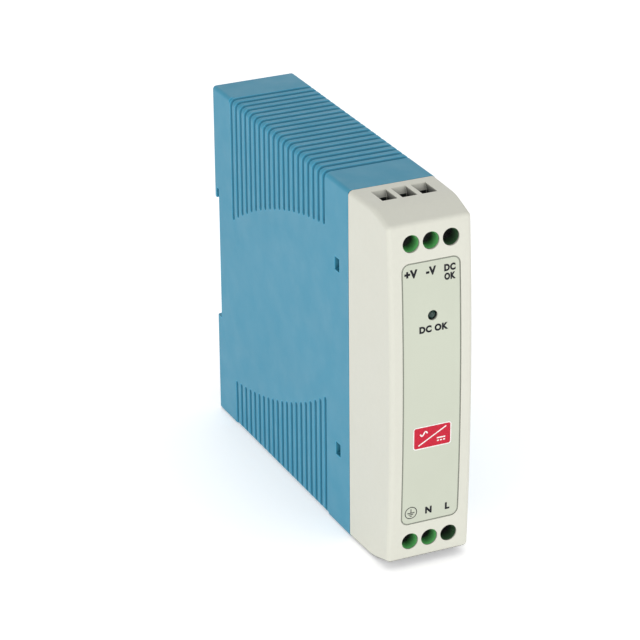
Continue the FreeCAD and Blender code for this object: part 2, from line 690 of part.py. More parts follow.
def clamp_cage(x):
    """Rising cage that the screw draws forward to grip the wire."""
    cage = box(x - CAGE_HALF_X, x + CAGE_HALF_X, CAGE_FRONT_Y, CAGE_BACK_Y,
               SCREW_Z - CAGE_HALF_Z, SCREW_Z + CAGE_HALF_Z)
    corners = [e for e in cage.Edges if e.BoundBox.ZLength > CAGE_HALF_Z]
    cage = cage.makeFillet(0.4, corners)
    inner_x = CAGE_HALF_X - CAGE_SIDE_WALL
    inner_front_y = CAGE_FRONT_Y + CAGE_END_WALL
    opening = box(x - inner_x, x + inner_x, inner_front_y, CAGE_BACK_Y - CAGE_END_WALL,
                  SCREW_Z - 2 * CAGE_HALF_Z, SCREW_Z + 2 * CAGE_HALF_Z)
    hole = cylinder_y(SCREW_R + THREAD_CLEARANCE, CAGE_FRONT_Y - 1, inner_front_y + 0.5, x, SCREW_Z)
    return cage.cut([opening, hole])


# ---------------------------------------------------------------- boards

def header_zs():
    upper = [HEADER_FIRST_Z + IC_PITCH * i for i in range(4)]
    return upper + [-z for z in upper]


def header_pins():
    """Square pins from the front board, bent into the main board."""
    pins = []
    x0, x1 = HEADER_X - HEADER_PIN_HALF, HEADER_X + HEADER_PIN_HALF
    bend_y = HEADER_BEND_Y - 2 * HEADER_PIN_HALF
    for z in header_zs():
        z0, z1 = z - HEADER_PIN_HALF, z + HEADER_PIN_HALF
        across = box(x0, x1, FRONT_BOARD_FRONT_Y - 0.7, HEADER_BEND_Y, z0, z1)
        down = box(x0, LEAD_END_X, bend_y, HEADER_BEND_Y, z0, z1)
        pins.append(across.fuse(down))
    return group(pins)


def board_header():
    upper = box(HEADER_X - 1.0, BOARD_FACE_X - 0.1, FRONT_BOARD_BACK_Y + 0.1, -71.2,
                HEADER_FIRST_Z - 1.3, HEADER_FIRST_Z + 8.9)
    return group([body.cut(header_pins()) for body in (upper, upside_down(upper))])


def pair(middle, spacing):
    return [middle - spacing / 2, middle + spacing / 2]


def pins_in_line(middle, pitch, count):
    return [middle + pitch * (i - (count - 1) / 2) for i in range(count)]


def lead_points():
    """(y, z, start x) of every straight round lead that enters the main board."""
    points = [(y, FUSE_Z, SEAT_X + 0.05) for y in FUSE_CLIP_YS]
    points += [(THERMISTOR_Y, z, 6.0) for z in pair(FUSE_Z, 5.0)]
    points += [(X_CAP_Y, z, SEAT_X) for z in pair(X_CAP_Z, 15.0)]
    points += [(y, z, 7.0) for y in pair(CHOKE_Y, 14.0) for z in pair(CHOKE_Z, 14.0)]
    points += [(BRIDGE_Y, z, 5.5) for z in pins_in_line(BRIDGE_Z, 5.0, 4)]
    points += [(y, z, SEAT_X) for y in pair(TRANSFORMER_Y, 21.0) for z in pins_in_line(TRANSFORMER_Z, 5.0, 4)]
    for y in pins_in_line(PACKAGE_Y, 2.5, 3):
        points.append((y, PACKAGE_LEAD_Z, 4.0))
        points.append((y, SECONDARY_SINK_Z - PACKAGE_LEAD_Z, 4.0))
    points += [(y, z, SEAT_X) for y in OUTPUT_CAP_YS + (INDUCTOR_Y,) for z in pair(OUTPUT_Z, 5.0)]
    points += [(Y_CAP_Y, z, 6.2) for z in pair(Y_CAP_Z, 5.0)]
    points += [(AUXILIARY_Y, z, SEAT_X) for z in pair(AUXILIARY_Z, 2.5)]
    points += [(y, z, SEAT_X) for y in pair(RELAY_Y, 5.0) for z in pair(RELAY_Z, 12.0)]
    return points


def bulk_lead_points():
    return [(y, BULK_LEAD_Z) for y in pair(BULK_Y, 7.0)]


def board_hole_points():
    """(y, z) of every round hole and solder joint in the main board."""
    points = [(y, z) for y, z, _ in lead_points()]
    points += bulk_lead_points()
    points += [(y, z) for y in pair(RESISTOR_Y, RESISTOR_SPAN) for z in RESISTOR_ZS]
    points += [(y, z) for y in control_leg_ys() for z in pair(CONTROL_Z, CHIP_LEG_SPAN)]
    points += [(y, z) for y in optocoupler_leg_ys() for z in pair(OPTO_Z, CHIP_LEG_SPAN)]
    return points


def component_leads():
    leads = [cylinder_x(LEAD_R, x0, LEAD_END_X, y, z) for y, z, x0 in lead_points()]
    for y, z in bulk_lead_points():
        reach = cylinder_z(LEAD_R, BULK_TOP_Z + 0.1, z, BULK_X, y)
        knee = Part.makeSphere(LEAD_R, V(BULK_X, y, z))
        leads.append(reach.fuse([cylinder_x(LEAD_R, BULK_X, LEAD_END_X, y, z), knee]))
    return group(leads)


def solder_joints():
    joints = []
    foot_r, top_r, height = 0.85, 0.5, 0.35
    for y, z in board_hole_points():
        cone = Part.makeCone(foot_r, top_r, height, V(BOARD_BACK_X + 0.01, y, z), V(1, 0, 0))
        joints.append(cone.cut(cylinder_x(LEAD_R + 0.02, BOARD_BACK_X - 1, BOARD_BACK_X + 2, y, z)))
    return group(joints)


def main_circuit_board():
    """Upright board along the +X side, notched round the cover's tongues."""
    board = box(BOARD_FACE_X, BOARD_BACK_X, BOARD_FRONT_Y, BOARD_REAR_Y,
                -BOARD_HALF_HEIGHT, BOARD_HALF_HEIGHT)
    x0, x1 = BOARD_FACE_X - 1, BOARD_BACK_X + 1
    cutters = [cylinder_x(LEAD_R + 0.05, x0, x1, y, z) for y, z in board_hole_points()]
    half = HEADER_PIN_HALF + 0.05
    for z in header_zs():
        cutters.append(box(x0, x1, HEADER_BEND_Y - 0.65, HEADER_BEND_Y + 0.05, z - half, z + half))
    for z in (-SNAP_Z, SNAP_Z):
        cutters.append(box(x0, x1, BOARD_FRONT_Y - 1, TONGUE_REAR_Y + 0.9, z - NOTCH_HALF, z + NOTCH_HALF))
    return board.cut(cutters)


def front_circuit_board():
    """Board behind the terminals, notched on both edges for the tongues."""
    y0, y1 = FRONT_BOARD_FRONT_Y, FRONT_BOARD_BACK_Y
    board = box(-FRONT_BOARD_HALF_WIDTH, FRONT_BOARD_HALF_WIDTH, y0, y1,
                -BOARD_HALF_HEIGHT, BOARD_HALF_HEIGHT)
    through = (y0 - 1, y1 + 1)
    cutters = []
    for z in (-SNAP_Z, SNAP_Z):
        notch = box(TONGUE_INNER_X - 0.35, HALF_WIDTH, *through, z - NOTCH_HALF, z + NOTCH_HALF)
        cutters += [notch, other_side(notch)]
    for x in pole_xs():
        hole = box(x - PIN_HALF_X - 0.1, x + PIN_HALF_X + 0.1, *through,
                   LEG_Z - 0.1, LEG_Z + LEG_THICKNESS + 0.1)
        cutters += [hole, upside_down(hole)]
    half = HEADER_PIN_HALF + 0.05
    for z in header_zs():
        cutters.append(box(HEADER_X - half, HEADER_X + half, *through, z - half, z + half))
    for x in led_lead_xs():
        cutters.append(cylinder_y(LED_LEAD_HOLE_R, *through, x, LED_Z))
    return board.cut(cutters)


def insulation_sheet():
    half_height = BOARD_HALF_HEIGHT + 1.0
    return box(INSULATION_X, INSULATION_X + 0.22, -67.0, -4.0, -half_height, half_height)


# ---------------------------------------------------------------- mains side

def fuse_tube():
    return cylinder_y(FUSE_R, FUSE_FRONT_Y + 0.8, FUSE_REAR_Y - 0.8, FUSE_X, FUSE_Z)


def fuse_end_caps():
    """A nickel cup pushed over each end of the glass tube."""
    caps = []
    length, end_wall = 5.0, 0.75
    rear_y0 = FUSE_REAR_Y - length
    for y0, bore_y0 in ((FUSE_FRONT_Y, FUSE_FRONT_Y + end_wall), (rear_y0, rear_y0 - 1)):
        cup = cylinder_y(FUSE_R + 0.2, y0, y0 + length, FUSE_X, FUSE_Z)
        bore = cylinder_y(FUSE_R + 0.02, bore_y0, bore_y0 + length + 1 - end_wall, FUSE_X, FUSE_Z)
        caps.append(cup.cut(bore))
    return group(caps)


def fuse_clips():
    """U-shaped spring clips under the fuse's end caps."""
    clips = []
    half_length, half_width, thickness = 1.8, 3.4, 0.65
    inner_half = half_width - thickness
    for y in FUSE_CLIP_YS:
        outer = box(0.8, SEAT_X + 0.05, y - half_length, y + half_length,
                    FUSE_Z - half_width, FUSE_Z + half_width)
        clips.append(outer.cut(box(0, 6.25, y - 3, y + 3, FUSE_Z - inner_half, FUSE_Z + inner_half)))
    return group(clips)


def disc_part(radius, thickness, x, y, z):
    disc = cylinder_y(radius, y - thickness / 2, y + thickness / 2, x, z)
    rims = [e for e in disc.Edges if e.BoundBox.XLength > radius]
    return disc.makeFillet(0.35 * thickness, rims)


def inrush_thermistor():
    return disc_part(5.0, 4.0, 1.3, THERMISTOR_Y, FUSE_Z)


def y_capacitor():
    return disc_part(4.0, 3.6, 2.4, Y_CAP_Y, Y_CAP_Z)


def x_capacitor():
    length, thickness = 18.2, 9.0
    case = box(-6.5, SEAT_X - 0.05, X_CAP_Y - thickness / 2, X_CAP_Y + thickness / 2,
               X_CAP_Z - length / 2, X_CAP_Z + length / 2)
    return case.makeFillet(0.6, [e for e in case.Edges if e.BoundBox.XMin < -6.4])


def choke_ring(outer, inner, half_x):
    middle_x = -0.4
    ring = cylinder_x(outer, middle_x - half_x, middle_x + half_x, CHOKE_Y, CHOKE_Z)
    return ring.cut(cylinder_x(inner, middle_x - half_x - 2, middle_x + half_x + 2, CHOKE_Y, CHOKE_Z))


def choke_core():
    return choke_ring(CHOKE_CORE_OUTER_R, CHOKE_CORE_INNER_R, CHOKE_CORE_HALF_X)


def choke_windings():
    """Two separate coils round the ring, one on each half, with lines between the turns."""
    wire = 1.2
    shell = choke_ring(CHOKE_CORE_OUTER_R + wire, CHOKE_CORE_INNER_R - 1.0, CHOKE_CORE_HALF_X + wire + 0.1)
    gap = 0.05
    core_space = choke_ring(CHOKE_CORE_OUTER_R + gap, CHOKE_CORE_INNER_R - gap, CHOKE_CORE_HALF_X + gap)
    shell = shell.cut(core_space)
    coils = shell.cut(box(-8, 8, CHOKE_Y - 2.2, CHOKE_Y + 2.2, CHOKE_Z - 12, CHOKE_Z + 12))
    lines = []
    turns, spacing_deg = 9, 14
    for i in range(turns):
        for side in (-1, 1):
            notch = box(-8, 8, -0.15, 0.15, CHOKE_CORE_OUTER_R + wire - 0.35, 12)
            notch.rotate(V(0, 0, 0), V(1, 0, 0), side * (90 + spacing_deg * (i - (turns - 1) / 2)))
            notch.translate(V(0, CHOKE_Y, CHOKE_Z))
            lines.append(notch)
    return group(coils.cut(lines).Solids)


def choke_base():
    """Plastic saddle between the choke and the board."""
    half = 9.2
    base = box(4.6, 7.0, CHOKE_Y - half, CHOKE_Y + half, CHOKE_Z - 9.0, CHOKE_Z + 9.0)
    return base.cut(box(4.5, 5.4, CHOKE_Y - 7.5, CHOKE_Y + 7.5, CHOKE_Z - 10, CHOKE_Z + 10))


def bridge_rectifier():
    body = box(-6.0, 5.5, BRIDGE_Y - 1.75, BRIDGE_Y + 1.75, BRIDGE_Z - 10.0, BRIDGE_Z + 10.0)
    corners = [e for e in body.Edges if e.BoundBox.YLength > 3 and e.BoundBox.XMin < -5.9]
    return body.makeChamfer(1.2, corners)


def bulk_capacitor():
    """Upright can with a rolled bead and a scored cross in its end."""
    radius = 7.9
    foot_z = -39.4
    can = cylinder_z(radius, foot_z, BULK_TOP_Z, BULK_X, BULK_Y)
    can = can.makeFillet(0.6, [e for e in can.Edges if e.BoundBox.XLength > 10])
    bead = cylinder_z(radius + 0.6, -13.2, -12.2, BULK_X, BULK_Y)
    bead = bead.cut(cylinder_z(radius - 0.4, -14, -11, BULK_X, BULK_Y))
    score, reach = 0.15, 5.0
    vent_top = foot_z + 0.25
    vent = [box(BULK_X - score, BULK_X + score, BULK_Y - reach, BULK_Y + reach, foot_z - 1, vent_top),
            box(BULK_X - reach, BULK_X + reach, BULK_Y - score, BULK_Y + score, foot_z - 1, vent_top)]
    return can.cut([bead] + vent)


# ---------------------------------------------------------------- transformer

def transformer_box(half_x, half_y, half_z):
    return box(TRANSFORMER_X - half_x, TRANSFORMER_X + half_x, TRANSFORMER_Y - half_y, TRANSFORMER_Y + half_y,
               TRANSFORMER_Z - half_z, TRANSFORMER_Z + half_z)


def transformer_core():
    """Ferrite core with a middle leg and a window above and below it."""
    core = transformer_box(4.0, 12.3, 11.0)
    x0, x1 = TRANSFORMER_X - 6, TRANSFORMER_X + 6
    y0, y1 = TRANSFORMER_Y - 9.0, TRANSFORMER_Y + 9.0
    inner, outer = 3.2, 8.2
    core = core.cut(box(x0, x1, y0, y1, TRANSFORMER_Z + inner, TRANSFORMER_Z + outer))
    return core.cut(box(x0, x1, y0, y1, TRANSFORMER_Z - outer, TRANSFORMER_Z - inner))


def transformer_bobbin():
    tube = transformer_box(4.9, 8.8, 4.0)
    flanges = transformer_box(7.5, 8.8, 8.0).cut(transformer_box(9, 7.8, 9))
    rails = []
    for side in (-1, 1):
        y = TRANSFORMER_Y + side * 9.95
        rails.append(box(TRANSFORMER_X + 4.2, SEAT_X - 0.05, y - 2.05, y + 2.05,
                         TRANSFORMER_Z - 9.5, TRANSFORMER_Z + 9.5))
    bobbin = tube.fuse([flanges] + rails)
    return bobbin.cut(transformer_box(4.15, 20, 3.35))


def transformer_winding():
    return transformer_box(6.9, 7.7, 7.3).cut(transformer_box(4.95, 9, 4.05))


def transformer_tape():
    return transformer_box(7.2, 7.2, 7.6).cut(transformer_box(6.95, 9, 7.35))


# ---------------------------------------------------------------- semiconductors

def power_package():
    """Tab package against the underside of a heat sink at z = 0."""
    y0, y1 = PACKAGE_Y - 5.0, PACKAGE_Y + 5.0
    body = box(-4.4, 4.0, y0, y1, -4.6, -0.1)
    body = body.makeChamfer(0.4, [e for e in body.Edges if e.BoundBox.ZMax < -4.5])
    tab = box(-8.6, -4.3, y0, y1, -1.4, -0.1)
    return body.fuse(tab).cut(cylinder_z(1.75, -5, 1, TAB_HOLE_X, PACKAGE_Y))


def heat_sink():
    """Aluminium plate with a folded foot and two notches."""
    y0, y1 = -31.0, -9.0
    plate = box(-8.4, 7.0, y0, y1, 0.0, 1.6)
    foot = box(5.6, 7.0, y0, y1, 1.0, 4.6)
    sink = plate.fuse(foot).cut(cylinder_z(1.3, -1, 5, TAB_HOLE_X, PACKAGE_Y))
    notches = [box(-8.5, -6.6, y - 0.9, y + 0.9, -1, 3) for y in (y0 + 2.4, y1 - 4.4)]
    return sink.cut(notches)


def heat_sink_screw():
    shank = cylinder_z(1.25, -1.5, 2.4, TAB_HOLE_X, PACKAGE_Y)
    head = cylinder_z(2.0, -3.3, -1.45, TAB_HOLE_X, PACKAGE_Y)
    head = head.makeFillet(0.5, [e for e in head.Edges if e.BoundBox.ZMax < -3.2])
    slot = box(TAB_HOLE_X - 2.9, TAB_HOLE_X + 2.9, PACKAGE_Y - 0.3, PACKAGE_Y + 0.3, -4, -2.7)
    return head.fuse(shank).cut(slot)


def secondary(shape):
    """The secondary sink is the primary one turned over, higher up."""
    turned = upside_down(shape)
    turned.translate(V(0, 0, SECONDARY_SINK_Z))
    return turned


def control_leg_ys():
    return [-20.8 + IC_PITCH * i for i in range(4)]


def optocoupler_leg_ys():
    return pair(-29.7, IC_PITCH)


def dual_in_line(y0, y1, middle_z, leg_ys, x_top):
    """Moulded package with a row of flat legs along each long side."""
    half_z = 3.0
    body = box(x_top, 6.5, y0, y1, middle_z - half_z, middle_z + half_z)
    body = body.makeChamfer(0.35, [e for e in body.Edges if e.BoundBox.XMax < x_top + 0.01])
    reach = CHIP_LEG_SPAN / 2 + 0.15
    legs = []
    for y in leg_ys:
        shoulders = box(5.0, 5.3, y - 0.45, y + 0.45, middle_z - reach, middle_z + reach)
        legs.append(shoulders)
        for z in pair(middle_z, CHIP_LEG_SPAN):
            legs.append(box(5.0, LEAD_END_X - 0.1, y - 0.2, y + 0.2, z - 0.15, z + 0.15))
    return body.fuse(legs)


def control_ic():
    return dual_in_line(-22.0, -12.0, CONTROL_Z, control_leg_ys(), 3.4)


def optocoupler():
    return dual_in_line(-32.0, -27.4, OPTO_Z, optocoupler_leg_ys(), 3.2)


# ---------------------------------------------------------------- output side

def radial_can(r, y, z, x_top):
    can = cylinder_x(r, x_top, SEAT_X - 0.05, y, z)
    can = can.makeFillet(0.5, [e for e in can.Edges if e.BoundBox.YLength > r])
    bead = cylinder_x(r + 1, 4.6, 5.3, y, z).cut(cylinder_x(r - 0.35, 4, 6, y, z))
    return can.cut(bead)


def output_capacitors():
    return group([radial_can(5.0, y, OUTPUT_Z, -8.0) for y in OUTPUT_CAP_YS])


def auxiliary_capacitor():
    return radial_can(2.5, AUXILIARY_Y, AUXILIARY_Z, -3.0)


def inductor_cylinder(r, x0, x1):
    return cylinder_x(r, x0, x1, INDUCTOR_Y, OUTPUT_Z)


def output_inductor_core():
    """Drum core: a hub between two flanges."""
    seat_x = SEAT_X - 0.05
    hub = inductor_cylinder(2.6, -5.5, seat_x)
    return hub.fuse([inductor_cylinder(5.0, -5.5, -4.2), inductor_cylinder(5.0, 5.5, seat_x)])


def output_inductor_winding():
    coil = inductor_cylinder(4.7, -4.1, 5.4).cut(inductor_cylinder(2.65, -5, 6))
    lines = []
    for i in range(8):
        x = -3.0 + 1.15 * i
        lines.append(inductor_cylinder(6, x, x + 0.15).cut(inductor_cylinder(4.5, x - 1, x + 1)))
    return coil.cut(lines)


def dc_ok_relay():
    case = box(-4.0, SEAT_X - 0.05, RELAY_Y - 3.9, RELAY_Y + 3.9, RELAY_Z - 7.5, RELAY_Z + 7.5)
    return case.makeFillet(0.5, [e for e in case.Edges if e.BoundBox.XMin < -3.9])


def resistors():
    """Two axial resistors with swollen ends and bent leads."""
    x, wire_r = 5.6, 0.3
    parts = []
    for z in RESISTOR_ZS:
        body = cylinder_y(0.85, RESISTOR_Y - 3.0, RESISTOR_Y + 3.0, x, z)
        pieces = [cylinder_y(1.05, y - 0.75, y + 0.75, x, z) for y in pair(RESISTOR_Y, 5.3)]
        ends = pair(RESISTOR_Y, RESISTOR_SPAN)
        pieces.append(cylinder_y(wire_r, ends[0], ends[1], x, z))
        for y in ends:
            pieces.append(cylinder_x(wire_r, x, LEAD_END_X, y, z))
            pieces.append(Part.makeSphere(wire_r, V(x, y, z)))
        parts.append(body.fuse(pieces))
    return group(parts)


# ---------------------------------------------------------------- files

MAKERS = {
    "rear_housing": rear_housing,
    "front_cover": front_cover,
    "front_label": front_label,
    "status_led": status_led,
    "led_leads": led_leads,
    "led_spacer": led_spacer,
    "rail_latch": rail_latch,
    "latch_spring": latch_spring,
    "main_circuit_board": main_circuit_board,
    "front_circuit_board": front_circuit_board,
    "board_header": board_header,
    "board_header_pins": header_pins,
    "insulation_sheet": insulation_sheet,
    "fuse_tube": fuse_tube,
    "fuse_end_caps": fuse_end_caps,
    "fuse_clips": fuse_clips,
    "inrush_thermistor": inrush_thermistor,
    "x_capacitor": x_capacitor,
    "y_capacitor": y_capacitor,
    "choke_core": choke_core,
    "choke_windings": choke_windings,
    "choke_base": choke_base,
    "bridge_rectifier": bridge_rectifier,
    "bulk_capacitor": bulk_capacitor,
    "transformer_core": transformer_core,
    "transformer_bobbin": transformer_bobbin,
    "transformer_winding": transformer_winding,
    "transformer_tape": transformer_tape,
    "switching_transistor": power_package,
    "primary_heat_sink": heat_sink,
    "output_capacitors": output_capacitors,
    "auxiliary_capacitor": auxiliary_capacitor,
    "output_inductor_core": output_inductor_core,
    "output_inductor_winding": output_inductor_winding,
    "optocoupler": optocoupler,
    "control_ic": control_ic,
    "dc_ok_relay": dc_ok_relay,
    "resistors": resistors,
    "component_leads": component_leads,
    "solder_joints": solder_joints,
}


def write(name, shape):
    shape.exportStep("parts/" + name + ".step")


def main():
    os.makedirs("parts", exist_ok=True)
    for name, maker in MAKERS.items():
        write(name, maker())
    write("output_terminal_block", terminal_block())
    write("input_terminal_block", upside_down(terminal_block()))
    write("output_terminal_contacts", terminal_contacts())
    write("input_terminal_contacts", upside_down(terminal_contacts()))
    for name, x in zip(("positive", "negative", "dc_ok"), pole_xs()):
        write("screw_" + name, clamp_screw(x))
        write("cage_" + name, clamp_cage(x))
    for name, x in zip(("earth", "neutral", "line"), pole_xs()):
        write("screw_" + name, upside_down(clamp_screw(x)))
        write("cage_" + name, upside_down(clamp_cage(x)))
    write("output_rectifier", secondary(power_package()))
    write("secondary_heat_sink", secondary(heat_sink()))
    write("heat_sink_screws", group([heat_sink_screw(), secondary(heat_sink_screw())]))


main()
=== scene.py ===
import json
import math

import bpy
import bmesh
from mathutils import Matrix, Vector


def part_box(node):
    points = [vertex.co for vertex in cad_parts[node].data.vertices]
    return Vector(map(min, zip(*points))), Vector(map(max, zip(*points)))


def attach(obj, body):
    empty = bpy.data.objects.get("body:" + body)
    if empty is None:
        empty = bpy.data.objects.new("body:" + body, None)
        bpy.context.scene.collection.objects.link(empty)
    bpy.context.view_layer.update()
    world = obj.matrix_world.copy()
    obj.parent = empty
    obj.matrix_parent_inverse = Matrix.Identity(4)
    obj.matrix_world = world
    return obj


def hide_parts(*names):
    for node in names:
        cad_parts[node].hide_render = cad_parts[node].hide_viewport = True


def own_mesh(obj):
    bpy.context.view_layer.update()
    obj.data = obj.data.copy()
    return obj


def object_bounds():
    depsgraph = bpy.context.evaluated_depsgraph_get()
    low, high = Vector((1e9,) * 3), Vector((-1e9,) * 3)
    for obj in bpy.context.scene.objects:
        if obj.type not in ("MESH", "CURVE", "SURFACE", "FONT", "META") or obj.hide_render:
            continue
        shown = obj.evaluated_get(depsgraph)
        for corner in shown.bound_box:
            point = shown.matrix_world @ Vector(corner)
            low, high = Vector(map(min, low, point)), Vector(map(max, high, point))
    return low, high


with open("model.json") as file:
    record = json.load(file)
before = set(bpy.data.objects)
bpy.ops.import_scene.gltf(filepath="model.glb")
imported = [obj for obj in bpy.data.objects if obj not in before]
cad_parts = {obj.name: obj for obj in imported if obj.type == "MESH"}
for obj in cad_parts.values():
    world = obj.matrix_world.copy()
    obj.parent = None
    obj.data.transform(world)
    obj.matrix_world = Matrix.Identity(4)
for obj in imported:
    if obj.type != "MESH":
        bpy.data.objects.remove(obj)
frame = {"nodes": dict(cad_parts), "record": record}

# The DIN rail power supply's looks, in metres. The front faces -Y.
CAD_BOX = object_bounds()
MM = 0.001


# ------------------------------------------------------------------ small helpers

def linear(hex_colour):
    """An sRGB hex colour as linear RGBA."""
    parts = [int(hex_colour[i:i + 2], 16) / 255 for i in (1, 3, 5)]
    return tuple(c / 12.92 if c <= 0.04045 else ((c + 0.055) / 1.055) ** 2.4 for c in parts) + (1.0,)


def scaled(colour, factor):
    """A linear colour made darker or lighter."""
    return tuple(min(1.0, c * factor) for c in colour[:3]) + (1.0,)


def new_object(name, mesh):
    """An object in the scene for a mesh or a curve."""
    obj = bpy.data.objects.new(name, mesh)
    bpy.context.scene.collection.objects.link(obj)
    return obj


class Shader:
    """A Principled material with the few texture nodes that the finishes share.

    A texture's scale is its number of repeats in a metre, in the object's own coordinates.
    """

    NOISE_SPAN = (0.3, 0.7)         # where nearly all of a noise texture's values lie
    SHELTER_SAMPLES = 8
    EDGE_SAMPLES = 6

    def __init__(self, name, roughness=0.5, metallic=0.0, **settings):
        self.material = bpy.data.materials.new(name)
        self.material.use_nodes = True
        self.tree = self.material.node_tree
        self.bsdf = self.tree.nodes["Principled BSDF"]
        self.bsdf.inputs["Roughness"].default_value = roughness
        self.bsdf.inputs["Metallic"].default_value = metallic
        for socket, value in settings.items():
            self.bsdf.inputs[socket.replace("_", " ")].default_value = value
        self.coords = self.tree.nodes.new("ShaderNodeTexCoord").outputs["Object"]

    def link(self, source, target):
        self.tree.links.new(source, target)

    def stretched(self, scale):
        mapping = self.tree.nodes.new("ShaderNodeMapping")
        mapping.inputs["Scale"].default_value = scale
        self.link(self.coords, mapping.inputs["Vector"])
        return mapping.outputs["Vector"]

    def noise(self, scale, detail=3.0, coords=None):
        tex = self.tree.nodes.new("ShaderNodeTexNoise")
        tex.inputs["Scale"].default_value = scale
        tex.inputs["Detail"].default_value = detail
        self.link(coords or self.coords, tex.inputs["Vector"])
        return tex.outputs["Fac"]

    def cells(self, scale):
        tex = self.tree.nodes.new("ShaderNodeTexVoronoi")
        tex.inputs["Scale"].default_value = scale
        self.link(self.coords, tex.inputs["Vector"])
        return tex.outputs["Distance"]

    def bands(self, scale, axis, distortion=0.0):
        tex = self.tree.nodes.new("ShaderNodeTexWave")
        tex.wave_type = "BANDS"
        tex.bands_direction = axis
        tex.inputs["Scale"].default_value = scale
        tex.inputs["Distortion"].default_value = distortion
        self.link(self.coords, tex.inputs["Vector"])
        return tex.outputs["Fac"]

    def remap(self, value, low, high, out_low=0.0, out_high=1.0):
        node = self.tree.nodes.new("ShaderNodeMapRange")
        node.inputs["From Min"].default_value = low
        node.inputs["From Max"].default_value = high
        node.inputs["To Min"].default_value = out_low
        node.inputs["To Max"].default_value = out_high
        self.link(value, node.inputs["Value"])
        return node.outputs["Result"]

    def ramp(self, value, stops):
        node = self.tree.nodes.new("ShaderNodeValToRGB")
        ramp = node.color_ramp
        while len(ramp.elements) < len(stops):
            ramp.elements.new(0.5)
        for element, (place, colour) in zip(ramp.elements, stops):
            element.position = place
            element.color = colour
        self.link(value, node.inputs["Fac"])
        return node.outputs["Color"]

    def mottled(self, value, base, dark, light, span=NOISE_SPAN):
        """The base colour, from its dark factor to its light one as the value goes over its span."""
        return self.ramp(value, [(span[0], scaled(base, dark)), (span[1], scaled(base, light))])

    def mix(self, factor, first, second):
        node = self.tree.nodes.new("ShaderNodeMix")
        node.data_type = "RGBA"
        self.link(factor, node.inputs["Factor"])
        colour_a, colour_b = [socket for socket in node.inputs if socket.type == "RGBA"]
        for value, socket in ((first, colour_a), (second, colour_b)):
            if isinstance(value, tuple):
                socket.default_value = value
            else:
                self.link(value, socket)
        return [socket for socket in node.outputs if socket.type == "RGBA"][0]

    def maths(self, operation, first, second=None):
        node = self.tree.nodes.new("ShaderNodeMath")
        node.operation = operation
        self.link(first, node.inputs[0])
        if second is not None:
            self.link(second, node.inputs[1])
        return node.outputs["Value"]

    def place(self):
        """The x, y and z of a point of the surface."""
        node = self.tree.nodes.new("ShaderNodeSeparateXYZ")
        self.link(self.coords, node.inputs["Vector"])
        return [node.outputs[axis] for axis in "XYZ"]

    def shelter(self, distance, low, high):
        """0 in the open and 1 deep in a groove, from the share of the sky left within the distance."""
        node = self.tree.nodes.new("ShaderNodeAmbientOcclusion")
        node.samples = self.SHELTER_SAMPLES
        node.inputs["Distance"].default_value = distance
        return self.remap(node.outputs["AO"], high, low)

    def edge(self, radius, low, high):
        """1 along sharp edges and 0 on flat faces, from how far a rounded edge's normal would turn."""
        bevel = self.tree.nodes.new("ShaderNodeBevel")
        bevel.samples = self.EDGE_SAMPLES
        bevel.inputs["Radius"].default_value = radius
        geometry = self.tree.nodes.new("ShaderNodeNewGeometry")
        dot = self.tree.nodes.new("ShaderNodeVectorMath")
        dot.operation = "DOT_PRODUCT"
        self.link(bevel.outputs["Normal"], dot.inputs[0])
        self.link(geometry.outputs["Normal"], dot.inputs[1])
        return self.remap(dot.outputs["Value"], high, low)

    def colour(self, source):
        self.link(source, self.bsdf.inputs["Base Color"])

    def roughness(self, value, low, high):
        self.link(self.remap(value, *self.NOISE_SPAN, low, high), self.bsdf.inputs["Roughness"])

    def bump(self, height, strength, depth):
        """Adds a relief of the stated depth in metres to what is there already."""
        node = self.tree.nodes.new("ShaderNodeBump")
        node.inputs["Strength"].default_value = strength
        node.inputs["Distance"].default_value = depth
        self.link(height, node.inputs["Height"])
        previous = self.bsdf.inputs["Normal"].links
        if previous:
            self.link(previous[0].from_socket, node.inputs["Normal"])
        self.link(node.outputs["Normal"], self.bsdf.inputs["Normal"])


# ------------------------------------------------------------------ finishes

SPECK_SIZE = 1.2 * MM
# The numbers from here to THIRD_POLE_FADE place painted shade: deep in the cover's wire openings, deep in the
# terminal bores and round the third terminal pole.
WIRE_MOUTH_REACH = 7.0 * MM
WIRE_MOUTH_HALF_WIDTH = 8.5 * MM
WIRE_MOUTH_FRONT_Y = -86.65 * MM
WIRE_MOUTH_TOP_Z = 44.7 * MM
WIRE_MOUTH_FADE = 0.1 * MM
CASE_TOP_Z = 44.98 * MM
BORE_REACH = 4.0 * MM
THIRD_POLE_X = 2.6 * MM
THIRD_POLE_FADE = 0.2 * MM
WIRE_PITCH = 0.5 * MM


